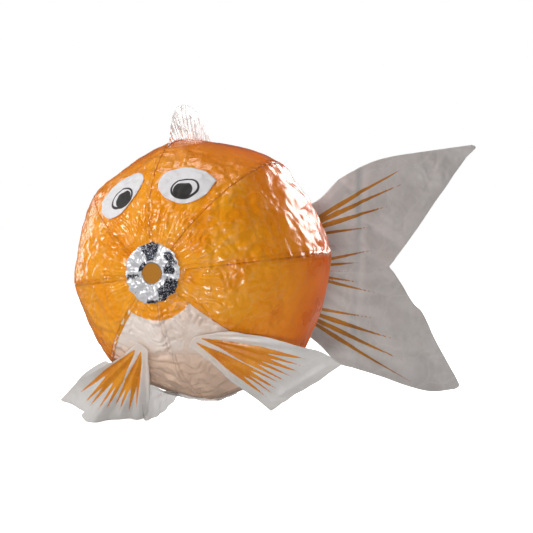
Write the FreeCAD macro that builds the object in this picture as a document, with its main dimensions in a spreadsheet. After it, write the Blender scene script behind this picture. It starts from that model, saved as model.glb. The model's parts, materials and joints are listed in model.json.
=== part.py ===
import FreeCAD, Part
import math
import os

import Sketcher
from FreeCAD import Placement, Rotation, Vector

# A paper balloon in the shape of a goldfish: eight glued gores, a foil ring round the blow
# hole that is the mouth, pasted eyes, and fins cut from single sheets that fold at the root.
# Origin: the centre of the blow hole. -Y is where the mouth points, +X the fish's left, +Z up.
SIZES = {
    # the balloon
    "balloon_radius": 76.5,        # at the middle of a gore, on the widest circle
    "front_depth": 67.5,           # widest circle to the front pole
    "rear_depth": 70.0,            # widest circle to the rear pole
    "front_crown": 110.0,          # radius of the flattened front
    "rear_crown": 100.0,           # radius of the flattened back
    "cross_bulge": 76.5,           # how far past the axis the cross curve of a gore is centred
    "front_tip": 7.0,              # where the gores stop, under the foil ring
    "rear_tip": 2.0,               # where the gores stop, under the rear patch
    "paper": 0.3,                  # stand-in thickness of the glassine
    "lean": 7.0,                   # the fish rests rolled over by this angle
    # discs
    "blow_hole": 5.75,             # radius
    "foil_outer": 17.0,
    "patch_outer": 15.0,
    "glue_gap": 0.2,               # a disc clears the raised seams under it by this
    "foil": 0.3,
    # eyes
    "eye_station": 50.9,           # distance of an eye's middle from the balloon's axis
    "eye_inner": 15.5,             # middle to blunt end
    "eye_outer": 18.0,             # middle to pointed end
    "eye_blunt": 6.0,              # radius of the blunt end
    "eye_upper": 19.0,             # radius of the upper edge
    "eye_lower": 21.0,             # radius of the lower edge
    "eye_lift": 0.05,              # glue under an eye
    "eye_paper": 0.2,
    "left_eye_tilt": 31.0,
    "right_eye_tilt": 16.0,
    # folds
    "fold_gap": 0.5,               # bare strip each side of a fold line
    "fold_lift": 1.75,             # a fold line stands off the seam ridge by this
    "seam_clear": 0.15,
    "fin_paper": 0.3,
    # pectoral fins: distances to the side of and back from the middle of the root
    "fin_station": 45.0,           # distance of the root from the balloon's axis
    "fin_lift": 0.35,              # the sheet clears the gore by this
    "fin_root": 5.0,               # half the root's length
    "fin_tab": 6.0,
    "left_heading": 63.0,          # of the fin's middle, from level towards the belly
    "left_shoulder_out": 27.9, "left_shoulder_back": 52.9,
    "left_tip_out": 28.9, "left_tip_back": 75.9,
    "left_edge_out": 5.0, "left_edge_back": 69.0,
    "left_corner_in": 19.2, "left_corner_back": 57.0,
    "left_flank_in": 12.5, "left_flank_back": 25.0,
    "right_heading": 68.0,
    "right_shoulder_out": 20.7, "right_shoulder_back": 44.0,
    "right_tip_out": 31.7, "right_tip_back": 85.9,
    "right_edge_out": 9.7, "right_edge_back": 77.0,
    "right_corner_in": 23.5, "right_corner_back": 50.5,
    "right_flank_in": 13.6, "right_flank_back": 21.0,
    # dorsal fin: distances forward, back and up from the middle of its fold line
    "dorsal_front": 22.7, "dorsal_rear": 36.5,
    "dorsal_brow_fore": 16.5, "dorsal_brow_up": 10.5,
    "dorsal_crest_fore": 7.0, "dorsal_crest_up": 16.7,
    "dorsal_top_back": 15.0, "dorsal_top_up": 17.7,
    "dorsal_heel_back": 31.0, "dorsal_heel_up": 5.5,
    # ventral fin, folded under the belly to the fish's right
    "ventral_front": 30.0, "ventral_rear": 34.0,
    "ventral_brow_fore": 42.0, "ventral_brow_out": 26.0,
    "ventral_crest_fore": 25.0, "ventral_crest_out": 34.0,
    "ventral_top_back": 41.0, "ventral_top_out": 34.0,
    "ventral_drop": 16.5,          # below level
    # tail: distances out from and up or down along its fold line
    "tail_side": 38.0,             # rest angle of the tail from straight out to the fish's left
    "tail_root": 24.0,
    "tail_shoulder_out": 67.0, "tail_shoulder_up": 57.5,
    "tail_bend_out": 104.0, "tail_bend_up": 72.5,
    "tail_upper_out": 168.0, "tail_upper_up": 81.6,
    "tail_notch_out": 103.8, "tail_notch_down": 3.0,
    "tail_lower_out": 158.5, "tail_lower_down": 86.5,
    "tail_heel_out": 137.0, "tail_heel_down": 90.0,
    "tail_flank_out": 66.0, "tail_flank_down": 68.0,
}

GORES = ["gore_upper_side_left", "gore_top_left", "gore_top_right", "gore_upper_side_right",
         "gore_lower_side_right", "gore_belly_right", "gore_belly_left", "gore_lower_side_left"]
GORE_ANGLE = 360.0 / len(GORES)
ROUND = 360.0
GORE_TURN = 26.0             # degrees turned before the sides are cut back to the wedge
CUT_REACH = 3                # cutting outlines run this many balloon radii out
EYE_STRIP = 0.2              # an eye is cut from all but this share of the front shoulder
EYE_CLEAR = 3                # what is trimmed off round an eye, in lengths of its outer half
TAB_EASE = 1.1               # a glue tab is this much flatter than the seam it stands on

doc = FreeCAD.newDocument("goldfish_balloon")
sheet = doc.addObject("Spreadsheet::Sheet", "sizes")
for row, (alias, value) in enumerate(SIZES.items(), start=1):
    sheet.set(f"A{row}", alias)
    sheet.set(f"B{row}", str(value))
    sheet.setAlias(f"B{row}", alias)
doc.recompute()
subparts = []


def size(alias):
    return float(sheet.get(alias))


def new_body(label):
    body = doc.addObject("PartDesign::Body", label)
    body.Label = label
    subparts.append(body)
    return body


def origin_plane(body, role):
    return next(o for o in body.Origin.OriginFeatures if o.Role == role)


def new_sketch(body, role, name, offset=None):
    sketch = body.newObject("Sketcher::SketchObject", name)
    sketch.AttachmentSupport = [(origin_plane(body, role), "")]
    sketch.MapMode = "FlatFace"
    if offset:
        sketch.AttachmentOffset = offset
    return sketch


def bind(sketch, constraint, alias):
    number = sketch.addConstraint(constraint)
    sketch.setExpression(f"Constraints[{number}]", f"<<sizes>>.{alias}")


def signed(spec):
    """"-name" is minus that size; an empty text is zero."""
    if not spec:
        return 0.0
    return -size(spec[1:]) if spec[0] == "-" else size(spec)


def pin(sketch, edge, end, spec, kind):
    """Ties one coordinate of an edge's end to a size in the sheet, or to the axis."""
    if not spec:
        axis = -2 if kind == "DistanceX" else -1
        sketch.addConstraint(Sketcher.Constraint("PointOnObject", edge, end, axis))
    elif spec[0] == "-":
        value = Sketcher.Constraint(kind, edge, end, -1, 1, size(spec[1:]))
        bind(sketch, value, spec[1:])
    else:
        bind(sketch, Sketcher.Constraint(kind, -1, 1, edge, end, size(spec)), spec)


def polygon(sketch, corners):
    """A closed outline whose corners are pairs of size names."""
    points = [Vector(signed(x), signed(y), 0) for x, y in corners]
    for i, (point, (x, y)) in enumerate(zip(points, corners)):
        edge = sketch.addGeometry(Part.LineSegment(point, points[(i + 1) % len(points)]))
        pin(sketch, edge, 1, x, "DistanceX")
        pin(sketch, edge, 1, y, "DistanceY")
        if i:
            sketch.addConstraint(Sketcher.Constraint("Coincident", i - 1, 2, i, 1))
    sketch.addConstraint(Sketcher.Constraint("Coincident", len(points) - 1, 2, 0, 1))


def sheet_of_paper(label, corners, thickness, place):
    """A flat sheet: its outline in its own XY plane, its thickness along +Z."""
    body = new_body(label)
    sketch = new_sketch(body, "XY_Plane", label + "_outline")
    polygon(sketch, corners)
    pad = body.newObject("PartDesign::Pad", label + "_pad")
    pad.Profile = sketch
    pad.setExpression("Length", f"<<sizes>>.{thickness}")
    body.Placement = place
    return body


# --- the balloon's profile -----------------------------------------------------------------

def shoulder_radius(depth, crown):
    """Radius of the arc that joins the widest circle to the crown, tangent to both."""
    widest = size("balloon_radius")
    return (2 * crown * depth - depth**2 - widest**2) / (2 * (crown - widest))


def profile_point(station, end, lift=0.0):
    """Where the profile, lifted off the paper, is at a distance from the axis, and its normal.

    The answer is in a gore's own plane: X away from the axis, Y along it.
    """
    side = -1 if end == "front" else 1
    depth, crown = size(end + "_depth"), size(end + "_crown")
    arc = shoulder_radius(depth, crown)
    centre, back = size("balloon_radius") - arc, crown - depth
    meet = centre / math.hypot(centre, back) * crown
    if station > meet:
        normal = Vector(station - centre, side * math.sqrt(arc**2 - (station - centre)**2), 0)
        return Vector(centre, 0, 0) + normal * ((arc + lift) / arc), normal.normalize()
    normal = Vector(station, side * math.sqrt(crown**2 - station**2), 0)
    return Vector(0, -side * back, 0) + normal * ((crown + lift) / crown), normal.normalize()


def gore_profile(sketch, shift):
    """The section of a gore along its middle: two crowns and two shoulders, offset inwards."""
    widest, wall = size("balloon_radius"), size("paper")
    arcs = {}
    for layer, inset in (("outer", 0.0), ("inner", wall)):
        for end, side, tip in (("front", -1, "front_tip"), ("rear", 1, "rear_tip")):
            depth, crown = size(end + "_depth"), size(end + "_crown")
            arc = shoulder_radius(depth, crown)
            crown_centre = Vector(shift, -side * (crown - depth), 0)
            shoulder_centre = Vector(shift + widest - arc, 0, 0)
            turn = math.atan2(crown - depth, widest - arc)
            start = math.acos(size(tip) / (crown - inset))
            for name, centre, radius, low, high in (
                ("crown", crown_centre, crown - inset, turn, start),
                ("shoulder", shoulder_centre, arc - inset, 0.0, turn),
            ):
                span = (low, high) if side > 0 else (-high, -low)
                circle = Part.Circle(centre, Vector(0, 0, 1), radius)
                arcs[layer, end, name] = sketch.addGeometry(Part.ArcOfCircle(circle, *span))
    for (layer, end, name), edge in arcs.items():
        if name == "crown":
            meeting, start = (2, 1) if end == "front" else (1, 2)
            shoulder = arcs[layer, end, "shoulder"]
            sketch.addConstraint(Sketcher.Constraint(
                "Tangent", edge, meeting, shoulder, 3 - meeting))
            if layer == "outer":
                sketch.addConstraint(Sketcher.Constraint("DistanceX", -1, 1, edge, 3, shift))
                sketch.setExpression(
                    f"Constraints[{sketch.ConstraintCount - 1}]", "<<sizes>>.cross_bulge")
                bind(sketch, Sketcher.Constraint("Radius", edge, size(end + "_crown")),
                     end + "_crown")
                pole = Sketcher.Constraint("DistanceX", edge, 3, edge, start, size(end + "_tip"))
                bind(sketch, pole, end + "_tip")
    for end in ("front", "rear"):
        outer, inner = arcs["outer", end, "shoulder"], arcs["inner", end, "shoulder"]
        sketch.addConstraint(Sketcher.Constraint("PointOnObject", outer, 3, -1))
        sketch.addConstraint(Sketcher.Constraint("Coincident", outer, 3, inner, 3))
        crown, under = arcs["outer", end, "crown"], arcs["inner", end, "crown"]
        sketch.addConstraint(Sketcher.Constraint("Coincident", crown, 3, under, 3))
        depth = size(end + "_depth")
        back = size(end + "_crown") - depth
        ends = (-1, 1, crown, 3) if end == "front" else (crown, 3, -1, 1)
        number = sketch.addConstraint(Sketcher.Constraint("DistanceY", *ends, back))
        sketch.setExpression(f"Constraints[{number}]",
                             f"<<sizes>>.{end}_crown - <<sizes>>.{end}_depth")
        top = 1 if end == "front" else 2
        corner, under_corner = (sketch.getPoint(crown, top), sketch.getPoint(under, top))
        edge = sketch.addGeometry(Part.LineSegment(corner, under_corner))
        sketch.addConstraint(Sketcher.Constraint("Coincident", crown, top, edge, 1))
        sketch.addConstraint(Sketcher.Constraint("Coincident", under, top, edge, 2))
        sketch.addConstraint(Sketcher.Constraint("Vertical", edge))
    for layer, inset in (("outer", ""), ("inner", " - <<sizes>>.paper")):
        front, rear = arcs[layer, "front", "shoulder"], arcs[layer, "rear", "shoulder"]
        sketch.addConstraint(Sketcher.Constraint("Coincident", front, 2, rear, 1))
        sketch.addConstraint(Sketcher.Constraint("PointOnObject", front, 2, -1))
        reach = shift + widest - (wall if inset else 0.0)
        number = sketch.addConstraint(Sketcher.Constraint("DistanceX", -1, 1, front, 2, reach))
        sketch.setExpression(f"Constraints[{number}]",
                             f"<<sizes>>.cross_bulge + <<sizes>>.balloon_radius{inset}")


def wedge_outline(sketch, side, shift):
    """All that is on one side of a gore's wedge, as four corners."""
    reach = CUT_REACH * size("balloon_radius")
    half = math.radians(GORE_ANGLE / 2)
    corners = [Vector(shift, 0, 0), Vector(shift + reach, side * reach * math.tan(half), 0),
               Vector(shift + reach, side * 2 * reach, 0), Vector(0, side * 2 * reach, 0)]
    first = sketch.GeometryCount
    for i in range(4):
        sketch.addGeometry(Part.LineSegment(corners[i], corners[(i + 1) % 4]))
    for i in range(4):
        following = first + (i + 1) % 4
        sketch.addConstraint(Sketcher.Constraint("Coincident", first + i, 2, following, 1))
    sketch.addConstraint(Sketcher.Constraint("Vertical", first + 1))
    sketch.addConstraint(Sketcher.Constraint("Horizontal", first + 2))
    sketch.addConstraint(Sketcher.Constraint("PointOnObject", first, 1, -1))
    sketch.addConstraint(Sketcher.Constraint("PointOnObject", first + 3, 1, -2))
    bind(sketch, Sketcher.Constraint("DistanceX", -1, 1, first, 1, shift), "cross_bulge")
    sketch.addConstraint(Sketcher.Constraint("DistanceX", first, 1, first, 2, reach))
    low, high = ((first, 1), (first, 2)) if side > 0 else ((first, 2), (first, 1))
    rise = Sketcher.Constraint("DistanceY", *low, *high, reach * math.tan(half))
    sketch.addConstraint(rise)
    low, high = ((-1, 1), (first + 3, 1)) if side > 0 else ((first + 3, 1), (-1, 1))
    sketch.addConstraint(Sketcher.Constraint("DistanceY", *low, *high, 2 * reach))


def spin(body, sketch, name, angle):
    """Turns a sketch about its own Y axis, evenly to both sides."""
    turned = body.newObject("PartDesign::Revolution", name)
    turned.Profile = sketch
    turned.ReferenceAxis = (sketch, ["V_Axis"])
    turned.Midplane = angle < ROUND
    turned.Angle = angle
    sketch.Visibility = False
    return turned


def cut_through(body, sketch, name):
    """Cuts a sketch's outline through everything, both ways."""
    pocket = body.newObject("PartDesign::Pocket", name)
    pocket.Profile = sketch
    pocket.Type = "ThroughAll"
    pocket.Midplane = True


def in_gore(point, shift):
    """From distances off the balloon's axis to the frame a gore is drawn in."""
    return Vector(point.x + shift, point.y, point.z)


def make_gore(label, angle):
    body = new_body(label)
    shift = size("cross_bulge")
    sketch = new_sketch(body, "XY_Plane", label + "_section")
    gore_profile(sketch, shift)
    spin(body, sketch, label + "_bulge", GORE_TURN)
    sides = new_sketch(body, "XZ_Plane", label + "_wedge")
    wedge_outline(sides, 1, shift)
    wedge_outline(sides, -1, shift)
    cut_through(body, sides, label + "_sides")
    turn = Rotation(Vector(0, 1, 0), -angle)
    body.Placement = Placement(CENTRE - turn.multVec(Vector(shift, 0, 0)), turn)


# --- discs ---------------------------------------------------------------------------------

def make_disc(label, end, hole, outer):
    """A thin dome laid over the gores' tips, with or without a hole."""
    body = new_body(label)
    side = -1 if end == "front" else 1
    back = size(end + "_crown") - size(end + "_depth")
    under = size(end + "_crown") + size("glue_gap")
    over = under + size("foil")
    rim, bore = size(outer), size(hole) if hole else 0.0
    sketch = new_sketch(body, "XY_Plane", label + "_section")
    centre = Vector(0, -side * back, 0)
    for radius in (under, over):
        near, far = side * math.acos(bore / radius), side * math.acos(rim / radius)
        circle = Part.Circle(centre, Vector(0, 0, 1), radius)
        sketch.addGeometry(Part.ArcOfCircle(circle, min(near, far), max(near, far)))
    bore_end, rim_end = (1, 2) if side < 0 else (2, 1)
    for at in (bore_end, rim_end):
        sketch.addGeometry(Part.LineSegment(sketch.getPoint(0, at), sketch.getPoint(1, at)))
    for edge, at in ((2, bore_end), (3, rim_end)):
        sketch.addConstraint(Sketcher.Constraint("Coincident", 0, at, edge, 1))
        sketch.addConstraint(Sketcher.Constraint("Coincident", 1, at, edge, 2))
        sketch.addConstraint(Sketcher.Constraint("Vertical", edge))
    sketch.addConstraint(Sketcher.Constraint("PointOnObject", 0, 3, -2))
    sketch.addConstraint(Sketcher.Constraint("Coincident", 0, 3, 1, 3))
    ends = (-1, 1, 0, 3) if end == "front" else (0, 3, -1, 1)
    crown = f"<<sizes>>.{end}_crown"
    for constraint, text in (
        (Sketcher.Constraint("DistanceY", *ends, back), f"{crown} - <<sizes>>.{end}_depth"),
        (Sketcher.Constraint("Radius", 0, under), f"{crown} + <<sizes>>.glue_gap"),
        (Sketcher.Constraint("Radius", 1, over), f"{crown} + <<sizes>>.glue_gap + <<sizes>>.foil"),
        (Sketcher.Constraint("DistanceX", -1, 1, 3, 1, rim), f"<<sizes>>.{outer}"),
    ):
        number = sketch.addConstraint(constraint)
        sketch.setExpression(f"Constraints[{number}]", text)
    if hole:
        bind(sketch, Sketcher.Constraint("DistanceX", -1, 1, 2, 1, bore), hole)
    else:
        sketch.addConstraint(Sketcher.Constraint("PointOnObject", 2, 1, -2))
    spin(body, sketch, label + "_dome", ROUND)
    body.Placement = Placement(CENTRE, Rotation())


# --- eyes ----------------------------------------------------------------------------------

def patch_section(sketch, shift):
    """A strip just over the front shoulder of a gore, long enough for an eye."""
    depth, crown = size("front_depth"), size("front_crown")
    arc = shoulder_radius(depth, crown)
    centre = Vector(shift + size("balloon_radius") - arc, 0, 0)
    turn = math.atan2(crown - depth, size("balloon_radius") - arc)
    radii = (arc + size("eye_lift"), arc + size("eye_lift") + size("eye_paper"))
    for radius in radii:
        circle = Part.Circle(centre, Vector(0, 0, 1), radius)
        sketch.addGeometry(Part.ArcOfCircle(circle, -turn, -turn * EYE_STRIP))
    for at in (1, 2):
        line = Part.LineSegment(sketch.getPoint(0, at), sketch.getPoint(1, at))
        edge = sketch.addGeometry(line)
        sketch.addConstraint(Sketcher.Constraint("Coincident", 0, at, edge, 1))
        sketch.addConstraint(Sketcher.Constraint("Coincident", 1, at, edge, 2))
    sketch.addConstraint(Sketcher.Constraint("Coincident", 0, 3, 1, 3))
    sketch.addConstraint(Sketcher.Constraint("PointOnObject", 0, 3, -1))
    middle = sketch.addConstraint(Sketcher.Constraint("DistanceX", -1, 1, 0, 3, centre.x))
    base = shoulder_text("front")
    sketch.setExpression(f"Constraints[{middle}]",
                         f"<<sizes>>.cross_bulge + <<sizes>>.balloon_radius - {base}")
    for edge, text in ((0, ""), (1, " + <<sizes>>.eye_paper")):
        number = sketch.addConstraint(Sketcher.Constraint("Radius", edge, radii[edge]))
        sketch.setExpression(f"Constraints[{number}]", f"{base} + <<sizes>>.eye_lift{text}")


def shoulder_text(end):
    """shoulder_radius, written for an expression."""
    crown, depth = f"<<sizes>>.{end}_crown", f"<<sizes>>.{end}_depth"
    widest = "<<sizes>>.balloon_radius"
    return (f"(2 * {crown} * {depth} - {depth} ^ 2 - {widest} ^ 2)"
            f" / (2 * ({crown} - {widest}))")


def leaf(sketch):
    """An eye's outline: two long edges that meet in a point and run into a blunt end."""
    blunt, inner, outer = size("eye_blunt"), size("eye_inner"), size("eye_outer")
    pointed, nose = Vector(outer, 0, 0), Vector(blunt - inner, 0, 0)
    span = outer - nose.x
    edges = []
    for alias, up in (("eye_upper", 1), ("eye_lower", -1)):
        radius = size(alias)
        along = (radius**2 - (radius - blunt)**2 + span**2) / (2 * span)
        centre = Vector(outer - along, -up * math.sqrt(radius**2 - along**2), 0)
        away = (nose - centre).normalize()
        join = centre + away * radius
        edges.append((alias, up, radius, centre, join))
    start = []
    for alias, up, radius, centre, join in edges:
        tip_turn = math.atan2(pointed.y - centre.y, pointed.x - centre.x)
        join_turn = math.atan2(join.y - centre.y, join.x - centre.x)
        low, high = (tip_turn, join_turn) if up > 0 else (join_turn, tip_turn)
        circle = Part.Circle(centre, Vector(0, 0, 1), radius)
        edge = sketch.addGeometry(Part.ArcOfCircle(circle, low, high))
        bind(sketch, Sketcher.Constraint("Radius", edge, radius), alias)
        start.append((edge, (1, 2) if up > 0 else (2, 1), join))
    upper, lower = start
    turns = [math.atan2(s[2].y, s[2].x - nose.x) for s in (upper, lower)]
    circle = Part.Circle(nose, Vector(0, 0, 1), blunt)
    end = sketch.addGeometry(Part.ArcOfCircle(circle, turns[0], turns[1] + 2 * math.pi))
    sketch.addConstraint(Sketcher.Constraint("Tangent", upper[0], upper[1][1], end, 1))
    sketch.addConstraint(Sketcher.Constraint("Tangent", lower[0], lower[1][1], end, 2))
    sketch.addConstraint(Sketcher.Constraint(
        "Coincident", upper[0], upper[1][0], lower[0], lower[1][0]))
    sketch.addConstraint(Sketcher.Constraint("PointOnObject", upper[0], upper[1][0], -1))
    sketch.addConstraint(Sketcher.Constraint("PointOnObject", end, 3, -1))
    bind(sketch, Sketcher.Constraint("Radius", end, blunt), "eye_blunt")
    bind(sketch, Sketcher.Constraint(
        "DistanceX", -1, 1, upper[0], upper[1][0], outer), "eye_outer")
    number = sketch.addConstraint(Sketcher.Constraint(
        "DistanceX", end, 3, -1, 1, inner - blunt))
    sketch.setExpression(f"Constraints[{number}]", "<<sizes>>.eye_inner - <<sizes>>.eye_blunt")


def make_eye(label, angle, side, tilt):
    """A leaf-shaped patch that follows the gore under it; side +1 is the fish's left."""
    body = new_body(label)
    shift = size("cross_bulge")
    strip = new_sketch(body, "XY_Plane", label + "_strip")
    patch_section(strip, shift)
    spin(body, strip, label + "_sheet", GORE_TURN)
    point, normal = profile_point(size("eye_station"), "front")
    away = Vector(0, 0, -side)
    back = Vector(-normal.y, normal.x, 0)
    flat = Rotation(away, back, away.cross(back), "ZXY")
    tilted = flat.multiply(Rotation(Vector(0, 0, 1), tilt))
    outline = new_sketch(body, "XY_Plane", label + "_outline",
                         Placement(in_gore(point, shift), tilted))
    leaf(outline)
    cutter = Part.Circle(Vector(0, 0, 0), Vector(0, 0, 1), EYE_CLEAR * size("eye_outer"))
    ring = outline.addGeometry(cutter)
    outline.addConstraint(Sketcher.Constraint("Coincident", ring, 3, -1, 1))
    number = outline.addConstraint(Sketcher.Constraint(
        "Radius", ring, EYE_CLEAR * size("eye_outer")))
    outline.setExpression(f"Constraints[{number}]", f"{EYE_CLEAR} * <<sizes>>.eye_outer")
    cut_through(body, outline, label + "_trim")
    turn = Rotation(Vector(0, 1, 0), -angle)
    body.Placement = Placement(CENTRE - turn.multVec(Vector(shift, 0, 0)), turn)


# --- fins ----------------------------------------------------------------------------------

def on_belly(angle, side, heading, station):
    """Frame of a pectoral fin: X to the side of its root, Y down its middle."""
    point, normal = profile_point(station, "front", size("fin_lift") + size("fin_paper") / 2)
    turn = Rotation(Vector(0, 1, 0), -angle)
    across = Vector(0, 0, side)
    back = Vector(-normal.y, normal.x, 0)
    flat = Rotation(across, back, across.cross(back), "ZXY")
    turned = turn.multiply(flat).multiply(Rotation(Vector(0, 0, 1), heading - 90))
    return Placement(CENTRE + turn.multVec(point), turned)


def centred(place):
    """Moves a sheet's frame back by half the sheet, so that the fold is in its middle."""
    return place.multiply(Placement(Vector(0, 0, -size("fin_paper") / 2), Rotation()))


def make_pectoral(side_name, angle, side):
    place = on_belly(angle, side, size(side_name + "_heading"), size("fin_station"))
    corners = [("-fin_root", "fold_gap"), ("fin_root", "fold_gap")]
    corners += [(f"{side_name}_{at}_out", f"{side_name}_{at}_back")
                for at in ("shoulder", "tip", "edge")]
    corners += [(f"-{side_name}_{at}_in", f"{side_name}_{at}_back")
                for at in ("corner", "flank")]
    sheet_of_paper(f"pectoral_fin_{side_name}", corners, "fin_paper", centred(place))
    tab = [("-fin_root", "-fin_tab"), ("fin_root", "-fin_tab"),
           ("fin_root", "-fold_gap"), ("-fin_root", "-fold_gap")]
    sheet_of_paper(f"pectoral_tab_{side_name}", tab, "fin_paper", centred(place))


def make_tab(label, low, high, arc, arc_text, place):
    """A glue tab: straight at its fold, hollowed to sit on the balloon."""
    body = new_body(label)
    sketch = new_sketch(body, "XY_Plane", label + "_outline")
    drop, gap = size("fold_lift"), size("fold_gap")
    centre = Vector(0, -drop - arc, 0)
    ends = math.acos(size(high) / arc), math.pi - math.acos(size(low) / arc)
    circle = Part.Circle(centre, Vector(0, 0, 1), arc)
    sketch.addGeometry(Part.ArcOfCircle(circle, *ends))
    right, left = sketch.getPoint(0, 1), sketch.getPoint(0, 2)
    top_right, top_left = Vector(size(high), -gap, 0), Vector(-size(low), -gap, 0)
    for start, end in ((left, top_left), (top_left, top_right), (top_right, right)):
        sketch.addGeometry(Part.LineSegment(start, end))
    for a, at, b in ((0, 2, 1), (1, 2, 2), (2, 2, 3)):
        sketch.addConstraint(Sketcher.Constraint("Coincident", a, at, b, 1))
    sketch.addConstraint(Sketcher.Constraint("Coincident", 3, 2, 0, 1))
    sketch.addConstraint(Sketcher.Constraint("Vertical", 1))
    sketch.addConstraint(Sketcher.Constraint("Horizontal", 2))
    sketch.addConstraint(Sketcher.Constraint("Vertical", 3))
    sketch.addConstraint(Sketcher.Constraint("PointOnObject", 0, 3, -2))
    bind(sketch, Sketcher.Constraint("DistanceY", 2, 1, -1, 1, gap), "fold_gap")
    bind(sketch, Sketcher.Constraint("DistanceX", 2, 1, -1, 1, size(low)), low)
    bind(sketch, Sketcher.Constraint("DistanceX", -1, 1, 3, 1, size(high)), high)
    for constraint, text in (
        (Sketcher.Constraint("Radius", 0, arc), arc_text),
        (Sketcher.Constraint("DistanceY", 0, 3, -1, 1, drop + arc),
         f"<<sizes>>.fold_lift + {arc_text}"),
    ):
        number = sketch.addConstraint(constraint)
        sketch.setExpression(f"Constraints[{number}]", text)
    pad = body.newObject("PartDesign::Pad", label + "_pad")
    pad.Profile = sketch
    pad.setExpression("Length", "<<sizes>>.fin_paper")
    body.Placement = centred(place)


def ridge():
    """Distance of a seam from the balloon's axis on the widest circle."""
    shift, widest = size("cross_bulge"), size("balloon_radius")
    along = shift * math.cos(math.radians(GORE_ANGLE / 2))
    return math.sqrt(along**2 + widest**2 + 2 * shift * widest) - along


def seam_line(angle, turn):
    """Frame on a fold line over a seam: X towards the tail, Y turned from straight out."""
    away = Vector(math.cos(math.radians(angle)), 0, math.sin(math.radians(angle)))
    height = ridge() + size("seam_clear") + size("fold_lift")
    aim = math.radians(angle + turn)
    outwards = Vector(math.cos(aim), 0, math.sin(aim))
    along = Vector(0, 1, 0)
    return Placement(CENTRE + away * height, Rotation(along, outwards, Vector(), "XYZ"))


def seam_arc():
    arcs = [shoulder_radius(size(f"{e}_depth"), size(f"{e}_crown")) for e in ("front", "rear")]
    text = f"{TAB_EASE} * ({shoulder_text('front')} + {shoulder_text('rear')}) / 2"
    return TAB_EASE * sum(arcs) / 2, text


def make_dorsal(angle):
    place = seam_line(angle, 0)
    corners = [("-dorsal_front", "fold_gap"), ("dorsal_rear", "fold_gap"),
               ("dorsal_heel_back", "dorsal_heel_up"), ("dorsal_top_back", "dorsal_top_up"),
               ("-dorsal_crest_fore", "dorsal_crest_up"),
               ("-dorsal_brow_fore", "dorsal_brow_up")]
    sheet_of_paper("dorsal_fin", corners, "fin_paper", centred(place))
    make_tab("dorsal_tab", "dorsal_front", "dorsal_rear", *seam_arc(), place)


def make_ventral(angle):
    level = 180 + size("ventral_drop")
    corners = [("-ventral_front", "fold_gap"), ("ventral_rear", "fold_gap"),
               ("ventral_top_back", "ventral_top_out"),
               ("-ventral_crest_fore", "ventral_crest_out"),
               ("-ventral_brow_fore", "ventral_brow_out")]
    folded = seam_line(angle, level - angle - ROUND)
    sheet_of_paper("ventral_fin", corners, "fin_paper", centred(folded))
    make_tab("ventral_tab", "ventral_front", "ventral_rear", *seam_arc(), seam_line(angle, 0))


def tail_line(turn):
    """Frame on the tail's upright fold line: X along the line, Y the way the sheet goes."""
    aim = math.radians(turn)
    reach = size("rear_depth") + size("glue_gap") + size("foil") + size("seam_clear")
    base = CENTRE + Vector(0, reach + size("fold_lift"), 0)
    return Placement(base, Rotation(Vector(0, 0, 1), Vector(math.cos(aim), math.sin(aim), 0),
                                    Vector(), "XYZ"))


def make_tail():
    corners = [("-tail_root", "fold_gap"), ("tail_root", "fold_gap"),
               ("tail_shoulder_up", "tail_shoulder_out"), ("tail_bend_up", "tail_bend_out"),
               ("tail_upper_up", "tail_upper_out"), ("-tail_notch_down", "tail_notch_out"),
               ("-tail_lower_down", "tail_lower_out"), ("-tail_heel_down", "tail_heel_out"),
               ("-tail_flank_down", "tail_flank_out")]
    sheet_of_paper("tail_fin", corners, "fin_paper", centred(tail_line(size("tail_side"))))
    under = ("rear_crown", "glue_gap", "foil", "seam_clear")
    text = " + ".join(f"<<sizes>>.{alias}" for alias in under)
    arc = sum(size(alias) for alias in under)
    make_tab("tail_tab", "tail_root", "tail_root", arc, f"({text})", tail_line(90))


# --- assembly ------------------------------------------------------------------------------

def balloon_centre():
    """The blow hole is at the origin, halfway through the foil."""
    middle = size("front_crown") + size("glue_gap") + size("foil") / 2
    back = size("front_crown") - size("front_depth")
    return Vector(0, math.sqrt(middle**2 - size("blow_hole")**2) - back, 0)


CENTRE = balloon_centre()
for index, name in enumerate(GORES):
    make_gore(name, (index + 0.5) * GORE_ANGLE + size("lean"))
make_disc("blow_hole_ring", "front", "blow_hole", "foil_outer")
make_disc("rear_patch", "rear", None, "patch_outer")
TOP, BOTTOM = 90 + size("lean"), 270 + size("lean")
make_eye("eye_left", TOP - GORE_ANGLE / 2, 1, size("left_eye_tilt"))
make_eye("eye_right", TOP + GORE_ANGLE / 2, -1, size("right_eye_tilt"))
make_pectoral("left", BOTTOM + GORE_ANGLE / 2, 1)
make_pectoral("right", BOTTOM - GORE_ANGLE / 2, -1)
make_dorsal(TOP)
make_ventral(BOTTOM)
make_tail()
doc.recompute()

faults = [o.Label for o in doc.Objects if {"Invalid", "Error"} & set(o.State)]
faults += [b.Label for b in subparts if b.Shape.isNull() or not b.Shape.isValid()
           or len(b.Shape.Solids) != 1]
if faults:
    raise RuntimeError("faulty: " + ", ".join(faults))
os.makedirs("parts", exist_ok=True)
for body in subparts:
    body.Shape.exportStep(f"parts/{body.Label}.step")
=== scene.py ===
import json
import math

import bpy
import numpy as np
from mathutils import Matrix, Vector
from mathutils.geometry import delaunay_2d_cdt


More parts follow.
